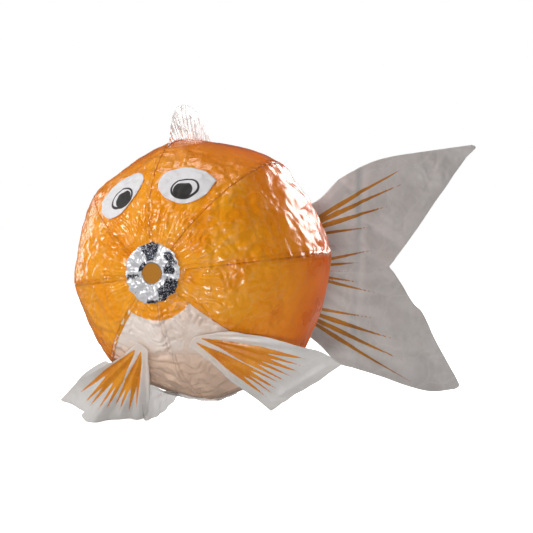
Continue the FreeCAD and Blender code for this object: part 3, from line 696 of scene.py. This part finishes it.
def make_left_pectoral():
    runs = [
        [(-4, -3), (0, -3.6), (4.5, -3)],
        [(4.5, -3), (8, 1), (17, 13), (24, 33), (28.4, 52), (30.5, 62), (28.9, 75.4)],
        [(28.9, 75.4), (12, 70), (-3, 63), (-19.4, 57)],
        [(-19.4, 57), (-17.5, 50), (-12.3, 27), (-6, 8), (-4, -3)],
    ]
    high, low = (5, 0.5), (1, -1)
    spokes = [(high, (23.2, 59.3), 3.6, 0.55, 0), (high, (17.1, 58.5), 3.6, 0.55, 0),
              (high, (13, 59.5), 3.6, 0.55, 0), (high, (7.5, 57.8), 3.4, 0.55, 0),
              (high, (3.2, 57.6), 2.6, 0.5, 0),
              (low, (0.1, 55), 3.0, 0.55, 0), (low, (-4.3, 55.6), 3.0, 0.55, 0),
              (low, (-8.6, 55), 3.0, 0.55, 0), (low, (-12.4, 52), 2.8, 0.5, 0)]

    def shape(flat):
        x, y = flat[:, 0], flat[:, 1]
        body = ease(y, 0, 16)
        fan = np.arctan2(x - 3, y + 6)
        height = body * (0.7 * fold(fan * 7 + 0.5) * (1 - 0.5 * ease(y, 30, 70))
                         + 0.9 * wave3(flat, 34, 111) + 0.30 * crush(flat, 12, 112)
                         + 0.10 * crush(flat, 5, 113))
        hem = crease(flat, (-16, 51.5), (27, 70), 3.0)
        fold_out = crease(flat, (-12.5, 54.5), (-8, 62), 2.5)
        height += 0.8 * hem * ease(x, -20, -5) + 0.7 * fold_out
        height -= 2.0 * ease(y - 0.4 * x, 58, 74) ** 1.5
        return height + 0.25, np.clip(hem * 0.7 + fold_out, 0, 1)

    return make_pectoral("left", 1, runs, spokes, shape)


def make_right_pectoral():
    runs = [
        [(-4, -3), (0, -3.6), (4, -3)],
        [(4, -3), (5, 3), (9, 17), (12.5, 25), (17, 29.5), (24, 48), (27, 64), (30.7, 82.4)],
        [(30.7, 82.4), (28.6, 82.9), (19, 75), (12.5, 70.5)],
        [(12.5, 70.5), (13.2, 73.5), (11.8, 75), (8.5, 74)],
        [(8.5, 74), (2, 69.5), (-9, 61.5), (-17, 56), (-21, 49), (-19, 36), (-14, 21), (-7, 6),
         (-4, -3)],
    ]
    left, right = (3, 4), (-0.6, 2)
    spokes = [(left, (22.2, 68), 3.4, 0.45, 0), (left, (15.5, 67.4), 3.6, 0.5, 0),
              (left, (11.5, 66.6), 3.6, 0.5, 0), (left, (5.6, 63.6), 3.2, 0.5, 0),
              (left, (1.4, 62), 3.0, 0.5, 0),
              (right, (-1.9, 57.8), 3.0, 0.5, 0), (right, (-5.8, 58.6), 3.2, 0.5, 0),
              (right, (-10.7, 54.5), 3.2, 0.5, 0), (right, (-14.4, 49.6), 3.0, 0.5, 0)]

    def shape(flat):
        x, y = flat[:, 0], flat[:, 1]
        body = ease(y, 0, 16)
        fan = np.arctan2(x, y + 6)
        height = body * (0.9 * fold(fan * 6 + 0.2) * (1 - 0.4 * ease(y, 30, 70))
                         + 1.1 * wave3(flat, 30, 121) + 0.40 * crush(flat, 12, 122)
                         + 0.12 * crush(flat, 5, 123))
        curl = np.exp(-((x - 6) / 13)**2) * ease(y, 34, 84)
        height += 11.4 * curl
        pinch = crease(flat, (30, 81.5), (24, 70), 3)
        return height + 0.25, np.clip(pinch, 0, 1)

    return make_pectoral("right", -1, runs, spokes, shape)


# --- eyes ----------------------------------------------------------------------------------

def make_eye(node, middle, side, tilt, leaf, look):
    """A pasted patch that lies in the skin's own creases; look is where its pupil is."""
    centre = WIDEST - SHOULDER
    normal = shoulder_normal(EYE_STATION)
    radial = np.array([math.cos(middle), 0, math.sin(middle)])
    axis = np.array([0, 1.0, 0])
    base = radial * EYE_STATION + axis * normal[1] * SHOULDER
    away = np.array([math.sin(middle), 0, -math.cos(middle)]) * side
    back = radial * -normal[1] + axis * normal[0]
    turn = math.radians(tilt)
    x_way = away * math.cos(turn) + back * math.sin(turn)
    y_way = back * math.cos(turn) - away * math.sin(turn)
    line = outline(leaf, 0.9)
    flat, faces = fill(line, 0.75)
    p = base + flat[:, :1] * x_way + flat[:, 1:] * y_way
    beta = np.arctan2(p[:, 2], p[:, 0]) - middle
    reach = np.hypot(p[:, 0], p[:, 2])
    r = np.sqrt(reach**2 + 2 * reach * BULGE * np.cos(beta) + BULGE**2) - BULGE
    along = EQUATOR - SHOULDER * np.arctan2(-p[:, 1], r - centre)
    points, lift, _, height, _ = relief(middle, beta, along, False)
    height = 0.72 * height + 0.62
    if side < 0:
        faces = [f[::-1] for f in faces]
    piece = make_mesh(node + "_patch", points + lift * height[:, None], faces,
                      side=flat[:, 0] - look[0], along=flat[:, 1] - look[1])
    thicken(piece, 0.1, 0)
    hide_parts(node)
    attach(piece, "balloon")
    return piece


# --- shader helpers ------------------------------------------------------------------------

class Graph:
    """Short names for the nodes that a material or a group is made of."""

    def __init__(self, tree):
        self.tree = tree

    def node(self, kind, inputs=None, **values):
        made = self.tree.nodes.new(kind)
        for key, value in values.items():
            setattr(made, key, value)
        self.fill(made, inputs or {})
        return made

    def fill(self, node, inputs):
        for key, value in inputs.items():
            self.put(node.inputs[key], value)

    def put(self, socket, value):
        if isinstance(value, bpy.types.NodeSocket):
            self.tree.links.new(value, socket)
        elif value is not None:
            socket.default_value = value

    def math(self, operation, a, b=None, c=None, clamp=False):
        made = self.node("ShaderNodeMath", operation=operation, use_clamp=clamp)
        for socket, value in zip(made.inputs, (a, b, c)):
            self.put(socket, value)
        return made.outputs[0]

    def span(self, value, low, high, to_low=0.0, to_high=1.0):
        made = self.node("ShaderNodeMapRange", interpolation_type="SMOOTHSTEP")
        for key, number in (("Value", value), ("From Min", low), ("From Max", high),
                            ("To Min", to_low), ("To Max", to_high)):
            self.put(made.inputs[key], number)
        return made.outputs[0]

    def mix(self, factor, a, b):
        made = self.node("ShaderNodeMix", data_type="RGBA")
        self.put(made.inputs[0], factor)
        self.put(made.inputs[6], a)
        self.put(made.inputs[7], b)
        return made.outputs[2]

    def noise(self, vector, scale, detail=4.0, rough=0.55):
        made = self.node("ShaderNodeTexNoise")
        self.put(made.inputs["Vector"], vector)
        self.put(made.inputs["Scale"], scale)
        made.inputs["Detail"].default_value = detail
        made.inputs["Roughness"].default_value = rough
        return made.outputs["Fac"]

    def value(self, name):
        made = self.node("ShaderNodeAttribute", attribute_name=name)
        return made.outputs["Fac"]

    def where(self):
        return self.node("ShaderNodeTexCoord").outputs["Object"]


def new_group(name, inputs, outputs):
    tree = bpy.data.node_groups.new(name, "ShaderNodeTree")
    for label, kind, start in inputs:
        socket = tree.interface.new_socket(label, in_out="INPUT", socket_type=kind)
        if start is not None:
            socket.default_value = start
    for label, kind in outputs:
        tree.interface.new_socket(label, in_out="OUTPUT", socket_type=kind)
    graph = Graph(tree)
    return graph, graph.node("NodeGroupInput"), graph.node("NodeGroupOutput")


def crinkle_group():
    """Creases of crushed thin paper: flat facets where folds in several directions cross."""
    g, source, sink = new_group(
        "crinkle", [("Vector", "NodeSocketVector", None), ("Size", "NodeSocketFloat", 0.006),
                    ("Bend", "NodeSocketFloat", 0.8)],
        [("Height", "NodeSocketFloat"), ("Ridge", "NodeSocketFloat")])
    scale = g.math("DIVIDE", 1.0, source.outputs["Size"])
    scaled = g.node("ShaderNodeVectorMath", operation="SCALE")
    g.put(scaled.inputs[0], source.outputs["Vector"])
    g.put(scaled.inputs["Scale"], scale)
    rng = np.random.default_rng(7)
    total, ridge = 0.0, 0.0
    for i in range(4):
        way = rng.normal(size=3)
        along = g.node("ShaderNodeVectorMath", operation="DOT_PRODUCT")
        g.put(along.inputs[0], scaled.outputs[0])
        along.inputs[1].default_value = way / np.linalg.norm(way) / rng.uniform(1.1, 2.2)
        shifted = g.node("ShaderNodeVectorMath", operation="ADD")
        g.put(shifted.inputs[0], scaled.outputs[0])
        shifted.inputs[1].default_value = rng.uniform(-20, 20, 3)
        wave = g.noise(shifted.outputs[0], 0.45, 2.0, 0.45)
        bent = g.math("MULTIPLY_ADD", wave, g.math("MULTIPLY", source.outputs["Bend"], 4.0),
                      along.outputs["Value"])
        zigzag = g.math("MULTIPLY", g.math("PINGPONG", bent, 0.5), 2.0)
        total = g.math("MULTIPLY_ADD", zigzag, 0.25, total)
        ridge = g.math("MAXIMUM", ridge, g.span(zigzag, 0.90, 1.0))
    g.put(sink.inputs["Height"], total)
    g.put(sink.inputs["Ridge"], ridge)
    return g.tree


def fibre_group():
    """Cloudy thin paper, with short fibres in it."""
    g, source, sink = new_group(
        "paper_cloud", [("Vector", "NodeSocketVector", None), ("Size", "NodeSocketFloat", 0.012)],
        [("Cloud", "NodeSocketFloat"), ("Fibre", "NodeSocketFloat")])
    scale = g.math("DIVIDE", 1.0, source.outputs["Size"])
    g.put(sink.inputs["Cloud"], g.noise(source.outputs["Vector"], scale, 5.0, 0.6))
    stretched = g.node("ShaderNodeMapping")
    g.put(stretched.inputs["Vector"], source.outputs["Vector"])
    stretched.inputs["Scale"].default_value = (1.0, 5.0, 2.0)
    g.put(sink.inputs["Fibre"], g.noise(stretched.outputs[0], g.math("MULTIPLY", scale, 9.0), 2.0))
    return g.tree


def place_group(g, tree, vector, **values):
    made = g.node("ShaderNodeGroup", node_tree=tree)
    g.put(made.inputs["Vector"], vector)
    for key, value in values.items():
        g.put(made.inputs[key.capitalize()], value)
    return made.outputs


def new_material(name):
    material = bpy.data.materials.new(name)
    material.use_nodes = True
    tree = material.node_tree
    return material, Graph(tree), tree.nodes["Principled BSDF"]


def rgb(r, g, b):
    return (r, g, b, 1.0)


def bump(g, height, distance, strength=1.0, under=None):
    made = g.node("ShaderNodeBump")
    made.inputs["Distance"].default_value = distance
    made.inputs["Strength"].default_value = strength
    g.put(made.inputs["Height"], height)
    if under is not None:
        g.put(made.inputs["Normal"], under)
    return made.outputs[0]


def glassine(name, pale, crinkle, cloud):
    """Waxed paper: orange, or pinkish white with an orange arc printed round the mouth. Its colour
    carries painted light and shade: lighter at the front, darker at the rear and at the bottom of
    the belly, with painted highlights on the front's crinkle ridges.
    """
    material, g, shader = new_material(name)
    where = g.where()
    split = g.node("ShaderNodeSeparateXYZ")
    g.put(split.inputs[0], where)
    front = g.span(split.outputs["Y"], 0.075, 0.010)
    big = place_group(g, crinkle, where, size=0.0085, bend=0.8)
    small = place_group(g, crinkle, where, size=0.0030, bend=1.0)
    clouds = place_group(g, cloud, where, size=0.020)
    # painted light and shade: the front takes a lighter amber and the rear a deeper red-orange, for
    # how the light falls on them
    lit_amber, shaded_deep = rgb(0.97, 0.375, 0.006), rgb(0.80, 0.125, 0.002)
    tone = g.mix(g.span(clouds["Cloud"], 0.35, 0.66), shaded_deep, rgb(0.94, 0.165, 0.003))
    orange = g.mix(front, tone, g.mix(g.span(clouds["Cloud"], 0.32, 0.62), rgb(0.92, 0.285, 0.004),
                                      lit_amber))
    pink = g.mix(g.span(clouds["Cloud"], 0.38, 0.62), rgb(0.84, 0.66, 0.55), rgb(0.93, 0.82, 0.74))
    # painted shade: the pale paper turns a darker beige towards the bottom of the belly
    pink = g.mix(g.span(split.outputs["Z"], -0.052, -0.038), rgb(0.80, 0.58, 0.44), pink)
    colour = orange
    if pale:
        reach = g.value("reach")
        wobble = g.math("MULTIPLY_ADD", clouds["Cloud"], 2.0, -1.0)
        arc = g.span(g.math("ADD", reach, wobble), 26.9, 26.1)
        colour = g.mix(arc, pink, orange)
    # a second layer of paper, then its raw edge, along the seam
    edge = g.math("ABSOLUTE", g.value("edge"))
    lap = g.span(edge, 3.1, 2.6, 0.0, g.span(front, 0.3, 1.0, 0.26, 0.08))
    colour = g.mix(lap, colour, rgb(0.42, 0.20, 0.09) if pale else rgb(0.42, 0.09, 0.003))
    line = g.span(edge, 0.65, 0.15, 0.0, g.span(front, 0.3, 1.0, 0.30 if pale else 0.85, 0.30))
    colour = g.mix(line, colour, rgb(0.30, 0.10, 0.02) if pale else rgb(0.25, 0.035, 0.002))
    # painted highlight: the crinkle ridges at the front are lightened
    ridge_highlight = g.math("MULTIPLY", big["Ridge"], g.span(front, 0.2, 1.0, 0.0, 0.16))
    colour = g.mix(ridge_highlight, colour, rgb(0.93, 0.62, 0.30) if not pale else rgb(0.92, 0.84, 0.78))
    fleck = g.span(clouds["Fibre"], 0.62, 0.80, 0.0, 0.10)
    colour = g.mix(fleck, colour, rgb(0.95, 0.60, 0.25))
    g.fill(shader, {"Base Color": colour,
                    "Roughness": g.span(clouds["Cloud"], 0.3, 0.7, 0.24, 0.40),
                    "Specular IOR Level": 0.35, "Coat Weight": 0.32, "Coat Roughness": 0.10})
    much = g.span(front, 0.0, 1.0, 0.9 if pale else 0.22, 1.0)
    tall = g.math("MULTIPLY", big["Height"], much)
    first = bump(g, tall, 0.00085, 0.9)
    fine = g.math("MULTIPLY", small["Height"], g.span(front, 0.0, 1.0, 0.15, 0.9))
    g.put(shader.inputs["Normal"], bump(g, fine, 0.00022, 0.8, first))
    return material


def inside_painted_glow(cloud):
    """The inner face of the paper, seen through the blow hole, with a painted glow that stands in
    for light coming through the paper.
    """
    material, g, shader = new_material("inside_painted_glow")
    clouds = place_group(g, cloud, g.where(), size=0.03)
    colour = g.mix(clouds["Cloud"], rgb(0.34, 0.185, 0.035), rgb(0.44, 0.24, 0.05))
    # painted light: the inner face glows by emission instead of being lit through the paper
    g.fill(shader, {"Base Color": colour, "Emission Color": colour, "Emission Strength": 0.62,
                    "Roughness": 0.6})
    return material


def glue_material(name, cloud, dark, light):
    """The dark doubled edge of the paper, shinier where glue has soaked through."""
    material, g, shader = new_material(name)
    where = g.where()
    clouds = place_group(g, cloud, where, size=0.010)
    tone = g.mix(g.span(clouds["Cloud"], 0.4, 0.6), dark, light)
    g.fill(shader, {"Base Color": tone, "Roughness": g.span(clouds["Fibre"], 0.3, 0.7, 0.30, 0.55)})
    return material


def foil_material(crinkle):
    """Silver foil, painted dark in a few patches as a painted reflection of dark surroundings; turn
    runs round the ring, reach outwards.
    """
    material, g, shader = new_material("silver_foil")
    where = g.where()
    large = place_group(g, crinkle, where, size=0.0045, bend=1.0)
    small = place_group(g, crinkle, where, size=0.0014, bend=1.0)
    ragged = g.noise(where, 420.0, 4.0, 0.65)
    turn = g.math("MULTIPLY_ADD", ragged, 0.55, g.value("turn"))
    far = g.math("MULTIPLY_ADD", ragged, 3.6, g.value("reach"))
    # painted reflection: dark patches on the foil stand in for dark surroundings mirrored in it
    dark_reflection = 0.0
    # angle of the middle (from the fish's left, counted upwards), half width, from, to, in mm
    for middle, half, low, high in ((1.66, 0.34, 9.0, 19.5), (0.62, 0.30, 13.5, 17.8),
                                    (0.12, 0.42, 9.5, 15.4), (5.55, 0.52, 11.0, 19.5),
                                    (3.30, 0.07, 9.5, 17.5), (2.60, 0.45, 7.2, 9.7),
                                    (4.75, 0.20, 16.6, 19.5)):
        apart = g.math("ABSOLUTE", g.math("SUBTRACT", turn, middle + 0.28))
        sector = g.span(apart, half + 0.05, half - 0.05)
        band = g.math("MULTIPLY", g.span(far, low - 0.3, low + 0.3), g.span(far, high + 0.3, high))
        dark_reflection = g.math("MAXIMUM", dark_reflection, g.math("MULTIPLY", sector, band))
    specks = g.span(g.noise(where, 1500.0, 2.0, 0.6), 0.34, 0.46)
    dark_reflection = g.math("MULTIPLY", dark_reflection, specks)
    colour = g.mix(dark_reflection, rgb(0.88, 0.88, 0.90), rgb(0.035, 0.038, 0.055))
    rim = g.span(g.value("reach"), 6.6, 6.0, 0.0, 0.8)
    colour = g.mix(rim, colour, rgb(0.12, 0.12, 0.14))
    g.fill(shader, {"Base Color": colour, "Metallic": g.span(dark_reflection, 0.0, 1.0, 0.45, 0.7),
                    "Roughness": g.span(ragged, 0.3, 0.7, 0.26, 0.42)})
    first = bump(g, large["Height"], 0.0006, 0.8)
    g.put(shader.inputs["Normal"], bump(g, small["Height"], 0.00018, 0.7, first))
    return material


def eye_material(name, crinkle, cloud):
    """Off-white paper with a printed eye: a heavy ring, and a pupil that leaves a pale crescent."""
    material, g, shader = new_material(name)
    x, y = g.value("side"), g.value("along")

    def ellipse(cx, cy, rx, ry):
        dx = g.math("DIVIDE", g.math("SUBTRACT", x, cx), rx)
        dy = g.math("DIVIDE", g.math("SUBTRACT", y, cy), ry)
        return g.math("SQRT", g.math("ADD", g.math("MULTIPLY", dx, dx), g.math("MULTIPLY", dy, dy)))

    def within(distance, soft=0.03):
        return g.span(distance, 1.0 + soft, 1.0 - soft)

    ring_out, ring_in = within(ellipse(0.0, 0.0, 8.3, 7.0)), within(ellipse(0.0, 0.3, 7.0, 5.6))
    ring = g.math("SUBTRACT", ring_out, ring_in, clamp=True)
    lid = g.span(g.math("MULTIPLY_ADD", x, 0.14, y), 3.6, 3.3)
    pupil = g.math("MULTIPLY", within(ellipse(-1.3, -0.9, 5.6, 5.5)), lid)
    ink = g.math("MAXIMUM", ring, pupil)
    clouds = place_group(g, cloud, g.where(), size=0.02)
    paper = g.mix(clouds["Cloud"], rgb(0.75, 0.73, 0.74), rgb(0.90, 0.87, 0.87))
    print_tone = g.mix(clouds["Cloud"], rgb(0.026, 0.024, 0.021), rgb(0.016, 0.014, 0.013))
    colour = g.mix(ink, paper, print_tone)
    g.fill(shader, {"Base Color": colour, "Roughness": g.span(ink, 0.0, 1.0, 0.46, 0.62)})
    soft = place_group(g, crinkle, g.where(), size=0.009, bend=0.6)
    g.put(shader.inputs["Normal"], bump(g, soft["Height"], 0.0003, 0.4))
    return material


def fin_material(name, crinkle, cloud, light, dark, blush, solid, ink_tones):
    """Thin greyish white paper with orange rays; pinkish where it lies over the belly; with painted
    highlights along its ridges and creases.
    """
    material, g, shader = new_material(name)
    where = g.where()
    clouds = place_group(g, cloud, where, size=0.022)
    fine = place_group(g, crinkle, where, size=0.0075, bend=0.8)
    paper = g.mix(g.span(clouds["Cloud"], 0.36, 0.64), dark, light)
    root = g.span(g.value("along"), 40.0, 8.0, 0.0, blush)
    paper = g.mix(root, paper, rgb(0.93, 0.80, 0.71))
    # painted highlight: the paper is lightened along the crinkle ridges
    sharp = place_group(g, crinkle, where, size=0.026, bend=1.0)
    paper = g.mix(g.math("MULTIPLY", sharp["Ridge"], 0.17), paper, rgb(0.92, 0.90, 0.88))
    # painted highlight: the paper turns a light grey along its creases
    pressed = g.value("pressed")
    paper = g.mix(g.math("MULTIPLY", pressed, 0.45), paper, rgb(0.84, 0.82, 0.80))
    ink = g.span(g.value("ink"), 0.12, -0.14)
    patchy = g.span(clouds["Fibre"], 0.25, 0.45, 0.85, 1.0)
    orange = g.mix(g.span(clouds["Cloud"], 0.35, 0.65), *ink_tones)
    colour = g.mix(g.math("MULTIPLY", ink, patchy), paper, orange)
    g.fill(shader, {"Base Color": colour,
                    "Roughness": g.span(clouds["Cloud"], 0.3, 0.7, 0.36, 0.50), "Coat Weight": 0.22,
                    "Coat Roughness": 0.18,
                    "Alpha": g.span(ink, 0.0, 1.0, solid, min(1.0, solid + 0.3))})
    first = bump(g, fine["Height"], 0.0005, 0.6)
    g.put(shader.inputs["Normal"], bump(g, clouds["Fibre"], 0.00008, 0.5, first))
    return material


# --- light and floor -----------------------------------------------------------------------

def area_light(name, way, distance, size, power):
    data = bpy.data.lights.new(name, "AREA")
    data.shape = "RECTANGLE"
    data.size, data.size_y = size
    data.energy = power
    lamp = bpy.data.objects.new(name, data)
    bpy.context.collection.objects.link(lamp)
    way = Vector(way).normalized()
    lamp.location = Vector(CENTRE) * MM + way * distance
    lamp.rotation_mode = "QUATERNION"
    lamp.rotation_quaternion = way.to_track_quat("Z", "Y")
    lamp.visible_camera = False


def make_studio():
    area_light("window_behind", (0.42, 0.86, 0.42), 1.1, (0.70, 0.42), 9.3)
    area_light("key_left", (-0.66, -0.62, 0.42), 1.2, (0.30, 0.30), 6.0)
    area_light("fill_low", (0.30, -0.90, -0.05), 1.3, (0.16, 0.16), 7.5)
    area_light("strip_left", (-0.92, 0.35, 0.15), 1.1, (0.20, 0.8), 2.5)
    area_light("overhead", (-0.2, -0.1, 1.0), 1.2, (0.5, 0.5), 4.0)
    world = bpy.data.worlds.new("studio")
    bpy.context.scene.world = world
    world.use_nodes = True
    g = Graph(world.node_tree)
    back = world.node_tree.nodes["Background"]
    split = g.node("ShaderNodeSeparateXYZ")
    g.put(split.inputs[0], g.node("ShaderNodeTexCoord").outputs["Generated"])
    room = g.mix(g.span(split.outputs["Y"], -0.75, 0.35), rgb(0.05, 0.05, 0.055),
                 rgb(0.26, 0.26, 0.27))
    ray = g.node("ShaderNodeLightPath").outputs
    room = g.mix(g.math("MULTIPLY", ray["Is Glossy Ray"], 0.7), room, rgb(0.02, 0.02, 0.02))
    g.put(back.inputs["Color"], g.mix(ray["Is Camera Ray"], room, rgb(1, 1, 1)))
    back.inputs["Strength"].default_value = 1.0

    low = cad_box[0][2] / MM - 2.4
    span = 9000
    corners = [(-span, -span, low), (span, -span, low), (span, span, low), (-span, span, low)]
    floor = make_mesh("floor", corners, [(0, 1, 2, 3)])
    material, g, shader = new_material("pale_floor")
    cloud = g.noise(g.where(), 3.0, 3.0)
    tone = g.mix(cloud, rgb(0.80, 0.80, 0.80), rgb(0.82, 0.82, 0.82))
    ray = g.node("ShaderNodeLightPath").outputs
    bounce = g.mix(ray["Is Glossy Ray"], rgb(0.66, 0.66, 0.66), rgb(0.12, 0.12, 0.12))
    g.fill(shader, {"Base Color": g.mix(ray["Is Camera Ray"], bounce, tone),
                    "Emission Color": g.mix(ray["Is Camera Ray"], rgb(0, 0, 0), tone),
                    "Emission Strength": 1.12, "Roughness": 0.8, "Specular IOR Level": 0.0})
    floor.data.materials.append(material)
    bpy.context.scene.view_settings.view_transform = "Standard"


# --- assembly ------------------------------------------------------------------------------

def finish(piece, slot, *materials):
    for material in materials:
        piece.data.materials.append(material)


make_camera()
crinkle, cloud = crinkle_group(), fibre_group()
orange = glassine("glassine_orange", False, crinkle, cloud)
belly = glassine("glassine_belly", True, crinkle, cloud)
inside = inside_painted_glow(cloud)
bright_ink = (rgb(0.72, 0.22, 0.004), rgb(0.88, 0.34, 0.008))
# painted shade: a darker brown copy of the ink, used on the tail
shaded_brown_ink = (rgb(0.40, 0.15, 0.012), rgb(0.62, 0.25, 0.018))
fin_paper = fin_material("fin_paper", crinkle, cloud, rgb(0.80, 0.78, 0.755),
                         rgb(0.71, 0.69, 0.665), 0.95, 0.92, bright_ink)
# painted shade: the tail's paper is a darker copy of the fin paper
tail_paper_painted_shade = fin_material("tail_paper_painted_shade", crinkle, cloud, rgb(0.73, 0.705, 0.68),
                          rgb(0.63, 0.605, 0.58), 0.0, 0.97, shaded_brown_ink)
# painted light: the dorsal fin's paper is a lighter copy of the fin paper
crest_paper_painted_light = fin_material("crest_paper_painted_light", crinkle, cloud, rgb(0.95, 0.93, 0.91),
                           rgb(0.88, 0.86, 0.84), 0.0, 0.8, bright_ink)
sheer_paper = fin_material("sheer_paper", crinkle, cloud, rgb(0.84, 0.82, 0.80),
                           rgb(0.74, 0.72, 0.70), 0.4, 0.55, bright_ink)

for number, place_name in enumerate(GORES):
    pale = place_name.startswith("belly")
    angle = (2 * number + 1) * HALF_GORE + LEAN
    gore = make_gore("gore_" + place_name, angle, pale)
    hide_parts("gore_" + place_name)
    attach(gore, "balloon")
    finish(gore, "belly_paper" if pale else "orange_paper", belly if pale else orange, inside)

BLOW_HOLE, CLOSED = 5.75, 0.02                     # radius of a disc's hole
for name, node, end, hole, rim, rough, slot, material in (
        ("mouth_foil", "blow_hole_ring", "front", BLOW_HOLE, 16.9, 1.0, "foil",
         foil_material(crinkle)),
        ("rear_seal", "rear_patch", "rear", CLOSED, 14.8, 0.5, "orange_paper", orange)):
    disc = make_disc(name, end, hole, rim, rough, 0.45)
    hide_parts(node)
    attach(disc, "balloon")
    finish(disc, slot, material)

# seam 5 joins the two belly gores; every other seam has an orange gore on one side at least
make_glue_lines("glue_orange", (0, 1, 2, 3, 4, 6, 7),
                glue_material("glued_orange", cloud, rgb(0.62, 0.12, 0.003), rgb(0.90, 0.26, 0.005)))
make_glue_lines("glue_pale", (5,),
                glue_material("glued_pale", cloud, rgb(0.62, 0.46, 0.36), rgb(0.85, 0.70, 0.60)))

TOP = math.pi / 2 + LEAN
left_leaf = [[(17.6, 0), (13, 6.4), (8.5, 10), (1, 12.9), (-7, 12.6), (-12.6, 9.2), (-15.6, 3),
              (-14.6, -2.4), (-11.4, -7.4), (-4, -12.2), (3.6, -12.6), (11.5, -8.6), (17.6, 0)]]
right_leaf = [[(17.2, 0.5), (14.6, 6.5), (10, 12), (2, 14), (-7, 13.4), (-12.8, 8.8),
               (-13.8, 3.6), (-9.6, -4.4), (-3, -11), (1.6, -14), (9.2, -14), (15.4, -8.2),
               (17.2, 0.5)]]
left_eye = make_eye("eye_left", TOP - HALF_GORE, 1, 31, left_leaf, (-0.6, -3.2))
left_eye.data.materials.append(eye_material("eye_print_left", crinkle, cloud))
right_eye = make_eye("eye_right", TOP + HALF_GORE, -1, 16, right_leaf, (0.6, -3.4))
right_eye.data.materials.append(eye_material("eye_print_right", crinkle, cloud))

for make, paper in ((make_tail, tail_paper_painted_shade), (make_dorsal, crest_paper_painted_light),
                    (make_ventral, sheer_paper), (make_left_pectoral, fin_paper),
                    (make_right_pectoral, fin_paper)):
    finish(make(), "fin_paper", paper)
make_studio()
